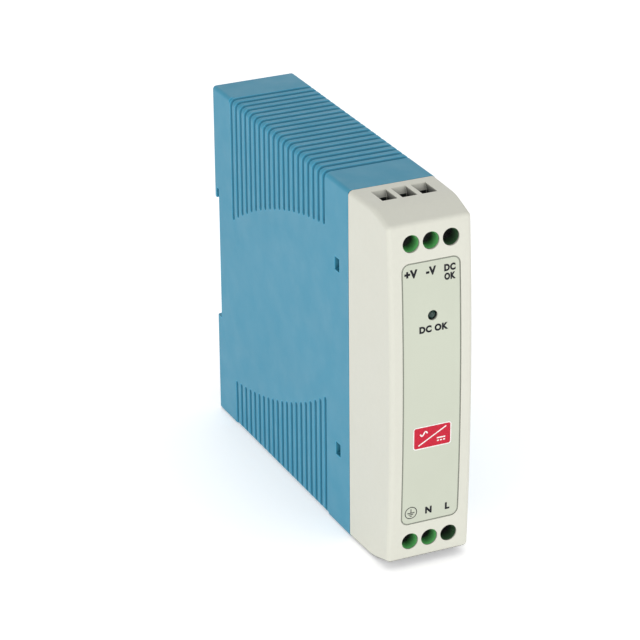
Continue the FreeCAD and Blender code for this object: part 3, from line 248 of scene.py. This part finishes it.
def moulded_plastic(name, hex_colour, roughness=0.45, grain=0.25 * MM, grain_depth=0.012 * MM, shade=None,
                    shade_reach=1.6 * MM, shade_range=(0.35, 0.92), edge_light=1.12, edge_reach=0.3 * MM,
                    mottle=0.035, zone=None):
    """Injection moulded plastic: fine spark-eroded grain and slight flow mottling, with a painted highlight
    along sharp edges and, given a shade colour, painted shade in grooves and hollows.
    """
    s = Shader(name, roughness, Specular_IOR_Level=0.35)
    base = linear(hex_colour)
    flow = s.noise(45.0, 2.0, s.stretched((1.0, 0.45, 1.0)))
    tone = s.mottled(flow, base, 1 - mottle, 1 + mottle)
    specks = s.remap(s.noise(1 / SPECK_SIZE, 2.0), 0.35, 0.75, 0.0, 0.12)
    tone = s.mix(specks, tone, scaled(base, 0.86))
    # Painted shade: where little sky is seen within the reach, in grooves, holes and hollows, the colour
    # turns to the shade colour.
    if shade:
        tone = s.mix(s.shelter(shade_reach, *shade_range), tone, linear(shade))
    # Painted shade deep in the wire openings of the cover, where the zone mask is 1.
    if zone:
        depth = s.maths("MULTIPLY", s.shelter(WIRE_MOUTH_REACH, 0.32, 0.95), zone(s))
        tone = s.mix(depth, tone, linear(shade))
    # Painted highlight: sharp edges and the ridges between grooves made lighter by the edge_light factor.
    edge_highlight = s.remap(s.edge(edge_reach, 0.9, 0.997), 0, 1, 0, 0.75)
    s.colour(s.mix(edge_highlight, tone, scaled(base, edge_light)))
    s.roughness(s.noise(160.0), roughness - 0.06, roughness + 0.06)
    s.bump(s.noise(1 / grain, 2.0), 0.35, grain_depth)
    return s.material


def wire_mouth_zone(s):
    """Where painted shade goes: 1 on the walls of the wire openings in the cover's top and bottom, and 0
    elsewhere.
    """
    x, y, z = s.place()
    inside_x = s.remap(s.maths("ABSOLUTE", x), WIRE_MOUTH_HALF_WIDTH + WIRE_MOUTH_FADE, WIRE_MOUTH_HALF_WIDTH)
    inside_y = s.remap(y, WIRE_MOUTH_FRONT_Y - WIRE_MOUTH_FADE, WIRE_MOUTH_FRONT_Y)
    below = s.remap(s.maths("ABSOLUTE", z), CASE_TOP_Z, WIRE_MOUTH_TOP_Z)
    return s.maths("MULTIPLY", s.maths("MULTIPLY", inside_x, inside_y), below)


def glossy_shader(name, hex_colour, roughness, coat):
    """Smooth moulded plastic without its colour, and the tone that it may wear."""
    s = Shader(name, roughness, Coat_Weight=coat, Coat_Roughness=0.12)
    s.roughness(s.noise(500.0, 2.0), roughness - 0.05, roughness + 0.07)
    s.bump(s.noise(1800.0, 2.0), 0.2, 0.01 * MM)
    return s, s.mottled(s.noise(220.0), linear(hex_colour), 0.93, 1.06)


def glossy_plastic(name, hex_colour, roughness=0.22, coat=0.15):
    s, tone = glossy_shader(name, hex_colour, roughness, coat)
    s.colour(tone)
    return s.material


def terminal_plastic(name, hex_colour, shade):
    """Terminal block green with painted shade deep in its bores and round the third pole."""
    s, tone = glossy_shader(name, hex_colour, 0.32, 0.15)
    # Painted shade deep in the bores.
    tone = s.mix(s.shelter(BORE_REACH, 0.14, 0.38), tone, linear(shade))
    # Painted shade on the blocks past the second pole, darkening the third pole's bore in each row.
    third_pole_shade = s.remap(s.place()[0], THIRD_POLE_X, THIRD_POLE_X + THIRD_POLE_FADE, 0, 0.8)
    s.colour(s.mix(third_pole_shade, tone, linear(shade)))
    return s.material


def printed_film(name, hex_colour):
    """Thin printed label: a faint orange-peel surface under a satin varnish."""
    s = Shader(name, 0.38, Coat_Weight=0.12, Coat_Roughness=0.3)
    base = linear(hex_colour)
    tone = s.mottled(s.noise(35.0, 2.0), base, 0.975, 1.02)
    s.colour(s.mix(s.remap(s.cells(2600.0), 0.1, 0.5, 0.0, 0.05), tone, scaled(base, 0.85)))
    s.roughness(s.noise(300.0, 2.0), 0.34, 0.44)
    s.bump(s.noise(1400.0, 2.0), 0.25, 0.01 * MM)
    return s.material


def ink(name, hex_colour, roughness=0.4):
    """Screen printed ink, slightly uneven."""
    s = Shader(name, roughness, Specular_IOR_Level=0.2)
    s.colour(s.mottled(s.noise(2500.0), linear(hex_colour), 0.85, 1.2, (0.3, 0.72)))
    s.roughness(s.noise(1500.0), roughness - 0.08, roughness + 0.1)
    s.bump(s.noise(3500.0), 0.2, 0.005 * MM)
    return s.material


def tinted_lens(name, hex_colour):
    """Unlit tinted epoxy with a painted sheen: lighter at its rim than where it is seen face on."""
    s = Shader(name, 0.08, IOR=1.5, Transmission_Weight=0.15, Coat_Weight=0.1, Coat_Roughness=0.03)
    base = linear(hex_colour)
    # Painted sheen: the colour turns lighter towards the rim, as the surface turns away from the view.
    rim_sheen = s.tree.nodes.new("ShaderNodeLayerWeight")
    rim_sheen.inputs["Blend"].default_value = 0.35
    swirl = s.mottled(s.noise(900.0, 2.0), base, 0.8, 1.25)
    s.colour(s.mix(rim_sheen.outputs["Facing"], swirl, scaled(base, 1.5)))
    return s.material


def metal(name, hex_colour, roughness=0.3, grain=(1.0, 1.0, 1.0), scratch=0.02 * MM):
    """Plated or drawn metal with fine lines along its grain and slight staining."""
    s = Shader(name, roughness, metallic=1.0)
    s.colour(s.mottled(s.noise(140.0, 4.0), linear(hex_colour), 0.8, 1.08, (0.25, 0.75)))
    lines = s.noise(900.0, 3.0, s.stretched(grain))
    s.roughness(lines, roughness - 0.08, roughness + 0.14)
    s.bump(lines, 0.3, scratch)
    return s.material


def wound_wire(name, hex_colour, pitch, axis):
    """Enamelled wire laid turn by turn at the pitch: a ridge for each turn, with painted shade in the gaps
    and lighter crests.

    The band texture repeats every pi / 10 at a scale of 1.
    """
    s = Shader(name, 0.3, metallic=0.75, Coat_Weight=0.5, Coat_Roughness=0.15)
    base = linear(hex_colour)
    turns = s.bands(math.pi / 10 / pitch, axis, 0.4)
    # Painted shade: darker where the turns meet, lighter along each turn's crest.
    tone = s.ramp(turns, [(0.0, scaled(base, 0.25)), (0.35, scaled(base, 0.85)), (1.0, scaled(base, 1.15))])
    s.colour(s.mix(s.remap(s.noise(200.0), 0.3, 0.7, 0, 0.3), tone, scaled(base, 0.7)))
    s.bump(turns, 0.8, 0.12 * MM)
    return s.material


def circuit_board(name, mask_hex, track_hex):
    """Solder mask with copper tracks showing faintly under it."""
    s = Shader(name, 0.3, Coat_Weight=0.3, Coat_Roughness=0.15)
    mask = linear(mask_hex)
    brick = s.tree.nodes.new("ShaderNodeTexBrick")
    brick.inputs["Scale"].default_value = 130.0
    brick.inputs["Mortar Size"].default_value = 0.03
    brick.inputs["Mortar Smooth"].default_value = 0.15
    s.link(s.coords, brick.inputs["Vector"])
    tone = s.mix(brick.outputs["Fac"], mask, linear(track_hex))
    s.colour(s.mix(s.remap(s.noise(90.0), 0.3, 0.7, 0, 0.25), tone, scaled(mask, 0.7)))
    s.bump(brick.outputs["Fac"], 0.3, 0.03 * MM)
    s.bump(s.noise(1500.0), 0.15, 0.01 * MM)
    return s.material


def sintered(name, hex_colour, roughness=0.75):
    """Pressed powder: ferrite and ceramic, speckled and slightly rough."""
    s = Shader(name, roughness)
    base = linear(hex_colour)
    tone = s.mottled(s.noise(1400.0, 4.0), base, 0.7, 1.5)
    s.colour(s.mix(s.remap(s.noise(90.0), 0.35, 0.65, 0, 0.4), tone, base))
    s.roughness(s.noise(700.0), roughness - 0.1, roughness + 0.1)
    s.bump(s.noise(2200.0), 0.4, 0.02 * MM)
    return s.material


def sleeved_can(name, hex_colour, stripe_hex):
    """Shrink-sleeved capacitor can with the usual light polarity stripe."""
    s = Shader(name, 0.28, Coat_Weight=0.25, Coat_Roughness=0.1)
    sleeve = s.mottled(s.noise(260.0), linear(hex_colour), 0.8, 1.25)
    stripe = s.remap(s.bands(7.0, "Y"), 0.93, 0.96)
    s.colour(s.mix(stripe, sleeve, linear(stripe_hex)))
    s.bump(s.noise(600.0), 0.3, 0.03 * MM)
    return s.material


def clear_glass(name, hex_colour):
    s = Shader(name, 0.05, Transmission_Weight=0.95, IOR=1.5)
    s.colour(s.mottled(s.noise(120.0), linear(hex_colour), 0.94, 1.0))
    s.roughness(s.noise(700.0), 0.02, 0.1)
    return s.material


def film_sheet(name, hex_colour):
    """Slightly cloudy insulating film."""
    s = Shader(name, 0.35, Transmission_Weight=0.25)
    s.colour(s.mottled(s.noise(60.0, 4.0), linear(hex_colour), 0.9, 1.05))
    s.roughness(s.noise(240.0), 0.28, 0.45)
    s.bump(s.noise(90.0), 0.3, 0.08 * MM)
    return s.material


def slot_materials():
    """One finish for each material slot in the record."""
    return {
        # Each shade colour is painted shade in grooves, bores and openings, and edge_light sets the painted
        # highlight along sharp edges.
        "housing_blue": moulded_plastic("housing_blue", "#3D90AD", 0.46, shade="#1A5D77",
                                        shade_range=(0.3, 0.88), edge_light=1.6,
                                        edge_reach=0.55 * MM, mottle=0.02),
        "cover_ivory": moulded_plastic("cover_ivory", "#D6D6CA", 0.44, shade="#14171C", shade_reach=9.0 * MM,
                                       shade_range=(0.2, 0.5), edge_light=1.14, mottle=0.012,
                                       zone=wire_mouth_zone),
        "label_film": printed_film("label_film", "#C5CAB9"),
        "led_lens": tinted_lens("led_lens", "#12362F"),
        "latch_plastic": moulded_plastic("latch_plastic", "#3D5F70", 0.4, shade="#1E3A48"),
        "terminal_green": terminal_plastic("terminal_green", "#62B96A", "#29222A"),
        "black_plastic": moulded_plastic("black_plastic", "#1C1C1E", 0.5),
        "zinc_steel": metal("zinc_steel", "#B9BCBC", 0.28),
        "spring_steel": metal("spring_steel", "#8F9294", 0.3, (1.0, 1.0, 6.0)),
        "tinned_brass": metal("tinned_brass", "#BDB8A6", 0.32, (1.0, 6.0, 1.0)),
        "tinned_wire": metal("tinned_wire", "#C4C4C0", 0.25),
        "gold_pin": metal("gold_pin", "#D9B45A", 0.22),
        "board_green": circuit_board("board_green", "#1E6B3A", "#3C8A4A"),
        "insulation_film": film_sheet("insulation_film", "#CFC8A2"),
        "fuse_glass": clear_glass("fuse_glass", "#EAF2F0"),
        "nickel_cap": metal("nickel_cap", "#C9C3B8", 0.18),
        "thermistor_disc": sintered("thermistor_disc", "#26352B", 0.5),
        "film_capacitor": glossy_plastic("film_capacitor", "#D1AE2E", 0.3),
        "ceramic_disc": sintered("ceramic_disc", "#2C5F9E", 0.35),
        "ferrite": sintered("ferrite", "#2C2C2F"),
        "enamel_copper": wound_wire("enamel_copper", "#B5632E", WIRE_PITCH, "Y"),
        "chip_epoxy": moulded_plastic("chip_epoxy", "#202022", 0.55),
        "opto_epoxy": moulded_plastic("opto_epoxy", "#DEDDD6", 0.5),
        "capacitor_sleeve": sleeved_can("capacitor_sleeve", "#23304C", "#C6CAD0"),
        "yellow_tape": glossy_plastic("yellow_tape", "#E2C23E", 0.25, 0.4),
        "heat_sink_aluminium": metal("heat_sink_aluminium", "#C3C6C8", 0.35, (1.0, 8.0, 1.0)),
        "relay_case": glossy_plastic("relay_case", "#D98A34", 0.28),
        "resistor_body": glossy_plastic("resistor_body", "#A9BCC0", 0.35),
        "solder": metal("solder", "#B4B6B6", 0.2),
    }


def dress_frame(materials):
    """Gives every CAD node the finish of its slot."""
    for part in frame["record"]["subparts"]:
        mesh = frame["nodes"][part["node"]].data
        for i in range(len(mesh.materials)):
            mesh.materials[i] = materials[part["material_slot"]]


# ------------------------------------------------------------------ latch spring

SPRING_TURNS = 8
SPRING_WIRE_R = 0.22 * MM
SPRING_STEPS_PER_TURN = 30
SPRING_SIDES = 10


def latch_spring_coil(material):
    """Round wire coil standing on its foot, in place of the CAD latch spring."""
    low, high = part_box("latch_spring")
    radius = (high.x - low.x) / 2 - SPRING_WIRE_R
    centre = Vector(((low.x + high.x) / 2, (low.y + high.y) / 2, low.z + SPRING_WIRE_R))
    rise = high.z - low.z - 2 * SPRING_WIRE_R
    steps = SPRING_STEPS_PER_TURN * SPRING_TURNS
    slope = math.atan2(rise / SPRING_TURNS, 2 * math.pi * radius)
    bm = bmesh.new()
    rings = []
    for i in range(steps + 1):
        a = 2 * math.pi * SPRING_TURNS * i / steps
        outward = Vector((math.cos(a), math.sin(a), 0))
        along = Vector((-math.sin(a) * math.cos(slope), math.cos(a) * math.cos(slope), math.sin(slope)))
        across = along.cross(outward)
        middle = centre + outward * radius + Vector((0, 0, rise * i / steps))
        ring = []
        for k in range(SPRING_SIDES):
            b = 2 * math.pi * k / SPRING_SIDES
            rim = (outward * math.cos(b) + across * math.sin(b)) * SPRING_WIRE_R
            ring.append(bm.verts.new(middle + rim))
        rings.append(ring)
    for one, two in zip(rings, rings[1:]):
        for k in range(SPRING_SIDES):
            following = (k + 1) % SPRING_SIDES
            bm.faces.new((one[k], one[following], two[following], two[k]))
    bm.faces.new(rings[0])
    bm.faces.new(rings[-1][::-1])
    bmesh.ops.recalc_face_normals(bm, faces=bm.faces)
    mesh = bpy.data.meshes.new("latch_spring_coil")
    bm.to_mesh(mesh)
    bm.free()
    for polygon in mesh.polygons:
        polygon.use_smooth = len(polygon.vertices) == 4
    coil = new_object("latch_spring_coil", mesh)
    coil.data.materials.append(material)
    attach(coil, "supply")
    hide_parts("latch_spring")
    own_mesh(coil)


# ------------------------------------------------------------------ label print and the painted shade line round its edge

PRINT_BACK_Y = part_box("front_label")[0].y
PRINT_THICKNESS = 0.02 * MM
PRINT_CUT_STEP = 3 * MM
FRONT_HALF_HEIGHT = 42.75 * MM
FRONT_BOW = 1.6 * MM
FRONT_BOW_RADIUS = (FRONT_HALF_HEIGHT ** 2 + FRONT_BOW ** 2) / (2 * FRONT_BOW)
LETTER_BOLDNESS = 0.06
LETTER_SPACING = 1.12
LETTER_CURVE_STEPS = 6

# Each legend's piece, words, middle (x, z), height and width, in millimetres.
LEGENDS = [
    ("mark_positive", "+V", (-5.13, 30.7), 2.1, 3.35),
    ("mark_negative", "-V", (-0.03, 30.75), 2.1, 2.6),
    ("mark_relay_upper", "DC", (4.77, 30.8), 1.75, 2.9),
    ("mark_relay_lower", "OK", (4.77, 28.65), 1.75, 2.9),
    ("mark_status", "DC OK", (0.48, 16.6), 1.75, 7.4),
    ("mark_neutral", "N", (-0.33, -30.4), 1.85, 1.7),
    ("mark_line", "L", (4.62, -30.4), 1.85, 1.2),
]


def lay_on_label(obj, material):
    """Gives a piece its material and fixes it to the supply as part of the label."""
    obj.data.materials.append(material)
    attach(obj, "supply")


def bow_back(z):
    """How far the bowed front lies behind its foremost line at a height."""
    return FRONT_BOW_RADIUS - math.sqrt(FRONT_BOW_RADIUS ** 2 - z ** 2)


def lay_on_bow(bm):
    """Cuts a flat piece across every few millimetres and bends it onto the bowed front."""
    low = min(v.co.z for v in bm.verts)
    high = max(v.co.z for v in bm.verts)
    for i in range(1, math.ceil((high - low) / PRINT_CUT_STEP)):
        geometry = bm.verts[:] + bm.edges[:] + bm.faces[:]
        level = low + i * PRINT_CUT_STEP
        bmesh.ops.bisect_plane(bm, geom=geometry, plane_co=(0, 0, level), plane_no=(0, 0, 1))
    for v in bm.verts:
        v.co.y += bow_back(v.co.z)


def flat_shape(name, outlines, lift=0.0):
    """Thin flat shape from closed outlines on the label, given as (x, z) in millimetres."""
    bm = bmesh.new()
    for outline in outlines:
        front_y = PRINT_BACK_Y - PRINT_THICKNESS - lift
        verts = [bm.verts.new((x * MM, front_y, z * MM)) for x, z in outline]
        face = bm.faces.new(verts)
        walls = bmesh.ops.extrude_face_region(bm, geom=[face])
        moved = [v for v in walls["geom"] if isinstance(v, bmesh.types.BMVert)]
        bmesh.ops.translate(bm, verts=moved, vec=(0, PRINT_THICKNESS, 0))
    bmesh.ops.recalc_face_normals(bm, faces=bm.faces)
    lay_on_bow(bm)
    mesh = bpy.data.meshes.new(name)
    bm.to_mesh(mesh)
    bm.free()
    return new_object(name, mesh)


def bar(x, z, width, height):
    """A rectangle's outline, from its middle."""
    return [(x - width / 2, z - height / 2), (x + width / 2, z - height / 2),
            (x + width / 2, z + height / 2), (x - width / 2, z + height / 2)]


def rounded_bar(x, z, width, height, radius, steps=6):
    """A rectangle's outline with round corners, from its middle."""
    points = []
    for cx, cz, start in ((1, 1, 0), (-1, 1, 90), (-1, -1, 180), (1, -1, 270)):
        for i in range(steps + 1):
            a = math.radians(start + 90 * i / steps)
            points.append((x + cx * (width / 2 - radius) + radius * math.cos(a),
                           z + cz * (height / 2 - radius) + radius * math.sin(a)))
    return points


def ribbon(path, width):
    """The closed outline of a line of constant width that follows a path."""
    left = []
    right = []
    for i, (x, z) in enumerate(path):
        x0, z0 = path[max(i - 1, 0)]
        x1, z1 = path[min(i + 1, len(path) - 1)]
        length = math.hypot(x1 - x0, z1 - z0)
        nx, nz = -(z1 - z0) / length * width / 2, (x1 - x0) / length * width / 2
        left.append((x + nx, z + nz))
        right.append((x - nx, z - nz))
    return left + right[::-1]


def ring(x, z, radius, width, steps=40):
    """A printed circle as short joined pieces."""
    inner = (radius - width / 2) / (radius + width / 2) * radius
    turns = [2 * math.pi * i / steps for i in range(steps + 1)]
    pieces = []
    for a, b in zip(turns, turns[1:]):
        corners = ((radius, a), (radius, b), (inner, b), (inner, a))
        pieces.append([(x + r * math.cos(turn), z + r * math.sin(turn)) for r, turn in corners])
    return pieces


def legend(name, words, middle, height, width):
    """Generic legend text, scaled to the stated height and width in millimetres."""
    curve = bpy.data.curves.new(name + "_text", "FONT")
    curve.body = words
    curve.offset = LETTER_BOLDNESS
    curve.space_character = LETTER_SPACING
    curve.extrude = 0.01        # any thickness above 0, scaled below
    curve.resolution_u = LETTER_CURVE_STEPS
    text = new_object(name + "_text", curve)
    bpy.context.view_layer.update()
    evaluated = text.evaluated_get(bpy.context.evaluated_depsgraph_get())
    mesh = bpy.data.meshes.new_from_object(evaluated)
    bpy.data.objects.remove(text)
    mesh.name = name
    low = [min(v.co[i] for v in mesh.vertices) for i in range(3)]
    high = [max(v.co[i] for v in mesh.vertices) for i in range(3)]
    for v in mesh.vertices:
        across = (v.co.x - (low[0] + high[0]) / 2) / (high[0] - low[0]) * width * MM
        up = (v.co.y - (low[1] + high[1]) / 2) / (high[1] - low[1]) * height * MM
        depth = (v.co.z - low[2]) / (high[2] - low[2]) * PRINT_THICKNESS
        z = middle[1] * MM + up
        v.co = Vector((middle[0] * MM + across, PRINT_BACK_Y - depth + bow_back(z), z))
    return new_object(name, mesh)


def earth_mark():
    """The protective earth sign: a stem and three shrinking bars in a circle."""
    x, z = -4.93, -30.25
    line = 0.2
    shapes = ring(x, z, 1.6, line)
    shapes.append(bar(x, z + 0.5, line, 0.95))
    for i, width in enumerate((1.9, 1.2, 0.55)):
        shapes.append(bar(x, z - 0.05 - 0.42 * i, width, line))
    return flat_shape("mark_earth", shapes)


def converter_sign(x, z, width, height):
    """The standard sign for an AC to DC converter: a wave, a slash, and a bar over three dashes."""
    slash_x = width / 2 - 1.1
    slash_z = height / 2 - 0.7
    wave_x, wave_z = x - 2.2, z + 1.0
    direct_x, direct_z = x + 2.3, z - 0.75
    dash_pitch, dash_drop, line = 0.8, 0.7, 0.32
    steps = [i / 12 - 1 for i in range(25)]
    wave = [(wave_x + 0.95 * t, wave_z + 0.5 * math.sin(math.pi * t)) for t in steps]
    shapes = [ribbon([(x - slash_x, z - slash_z), (x + slash_x, z + slash_z)], 0.3), ribbon(wave, 0.34)]
    shapes.append(bar(direct_x, direct_z, 2.2, line))
    for i in (-1, 0, 1):
        shapes.append(bar(direct_x + dash_pitch * i, direct_z - dash_drop, 0.5, line))
    return shapes


def converter_badge(red, white):
    """Generic badge: the converter sign in white on a red plate with a white rim."""
    x, z, width, height = 0.2, -10.85, 9.4, 5.3
    rim_width, sign_lift = 0.25, 0.005 * MM
    lay_on_label(flat_shape("badge_plate", [rounded_bar(x, z, width, height, 0.5)]), red)
    rim = frame_shapes(x, z, width + 2 * rim_width, height + 2 * rim_width, 0.7, 0.24)
    lay_on_label(flat_shape("badge_rim", rim), white)
    lay_on_label(flat_shape("badge_symbol", converter_sign(x, z, width, height), sign_lift), white)


def frame_shapes(x, z, width, height, radius, line):
    """Rounded outline of constant line width, as short joined pieces."""
    outer = rounded_bar(x, z, width, height, radius)
    inner = rounded_bar(x, z, width - 2 * line, height - 2 * line, radius - line)
    count = len(outer)
    return [[outer[i], outer[(i + 1) % count], inner[(i + 1) % count], inner[i]] for i in range(count)]


def label_print():
    """The legends, the badge, and a thin dark line round the label's edge that is painted shade for the gap
    round the label.
    """
    black = ink("legend_ink", "#16161E")
    for name, words, middle, height, width in LEGENDS:
        lay_on_label(legend(name, words, middle, height, width), black)
    lay_on_label(earth_mark(), black)
    # Painted shade: a thin dark grey line round the label's edge stands in for the shade in the gap round the
    # label.
    gap_shade_outline = frame_shapes(0.0, 0.0, 14.7, 66.4, 1.8, 0.13)
    lay_on_label(flat_shape("label_gap_shade_line", gap_shade_outline), ink("label_gap_shade", "#74786E"))
    converter_badge(ink("badge_red", "#C21E36", 0.35), ink("badge_white", "#F1EFEA", 0.4))


# ------------------------------------------------------------------ camera, floor, light

CAMERA_PLACE = (-0.28419, -0.65880, 0.29970)
CAMERA_AZIMUTH = math.radians(-24.55)
CAMERA_ELEVATION = math.radians(24.09)
CAMERA_ROLL = math.radians(-0.56)
CAMERA_LENS = 169.12
CAMERA_SENSOR = 36.0
FLOOR_HALF = 9.0
FLOOR_GLOW = 0.36
WORLD_STRENGTH = 0.61
LAMP_AIM = (0, -0.045, 0)

# Each lamp's name, place, width and height in metres, and power in watts.
LAMPS = [
    ("key_left", (-0.8, -0.5, 0.3), (0.7, 0.7), 2.25),
    ("fill_front", (0.25, -1.0, 0.2), (0.9, 0.6), 2.05),
    ("soft_top", (0.0, -0.2, 1.1), (0.8, 0.8), 1.2),
    ("rear_sheen", (0.40, 0.92, 0.45), (0.9, 0.6), 0.7),
]


def make_camera():
    """Long lens, from the front left and above, with a slight roll."""
    azimuth, elevation, roll = CAMERA_AZIMUTH, CAMERA_ELEVATION, CAMERA_ROLL
    back = Vector((math.sin(azimuth) * math.cos(elevation), -math.cos(azimuth) * math.cos(elevation),
                   math.sin(elevation)))
    level = Vector((0, 0, 1)).cross(back).normalized()
    upright = back.cross(level)
    right = level * math.cos(roll) + upright * math.sin(roll)
    up = upright * math.cos(roll) - level * math.sin(roll)
    data = bpy.data.cameras.new("camera")
    data.sensor_width = CAMERA_SENSOR
    data.lens = CAMERA_LENS
    data.clip_start = 0.05
    data.clip_end = 20.0
    camera = bpy.data.objects.new("camera", data)
    bpy.context.scene.collection.objects.link(camera)
    turn = Matrix((right, up, back)).transposed().to_4x4()
    camera.matrix_world = Matrix.Translation(CAMERA_PLACE) @ turn
    bpy.context.scene.camera = camera


def make_floor():
    """Large, level, nearly white floor that glows a little."""
    s = Shader("floor", 0.6)
    s.colour(s.ramp(s.noise(3.0), list(zip(s.NOISE_SPAN, (linear("#FAFAFA"), linear("#FDFDFD"))))))
    s.bsdf.inputs["Emission Color"].default_value = (1.0, 1.0, 1.0, 1.0)
    s.bsdf.inputs["Emission Strength"].default_value = FLOOR_GLOW
    bm = bmesh.new()
    low_z = CAD_BOX[0].z
    signs = ((-1, -1), (1, -1), (1, 1), (-1, 1))
    bm.faces.new([bm.verts.new((i * FLOOR_HALF, j * FLOOR_HALF, low_z)) for i, j in signs])
    mesh = bpy.data.meshes.new("floor")
    bm.to_mesh(mesh)
    bm.free()
    floor = new_object("floor", mesh)
    floor.data.materials.append(s.material)


def area_light(name, place, size, power):
    data = bpy.data.lights.new(name, "AREA")
    data.shape = "RECTANGLE"
    data.size, data.size_y = size
    data.energy = power
    lamp = bpy.data.objects.new(name, data)
    bpy.context.scene.collection.objects.link(lamp)
    lamp.visible_camera = False
    lamp.location = place
    lamp.rotation_euler = (Vector(LAMP_AIM) - Vector(place)).to_track_quat("-Z", "Y").to_euler()


def make_lights():
    """Four soft lamps in an even white world."""
    for name, place, size, power in LAMPS:
        area_light(name, place, size, power)
    world = bpy.data.worlds.new("studio")
    bpy.context.scene.world = world
    world.use_nodes = True
    background = world.node_tree.nodes["Background"]
    background.inputs["Color"].default_value = (1.0, 1.0, 1.0, 1.0)
    background.inputs["Strength"].default_value = WORLD_STRENGTH
    bpy.context.scene.view_settings.view_transform = "Standard"


make_camera()
make_floor()
make_lights()
finishes = slot_materials()
dress_frame(finishes)
latch_spring_coil(finishes["spring_steel"])
label_print()
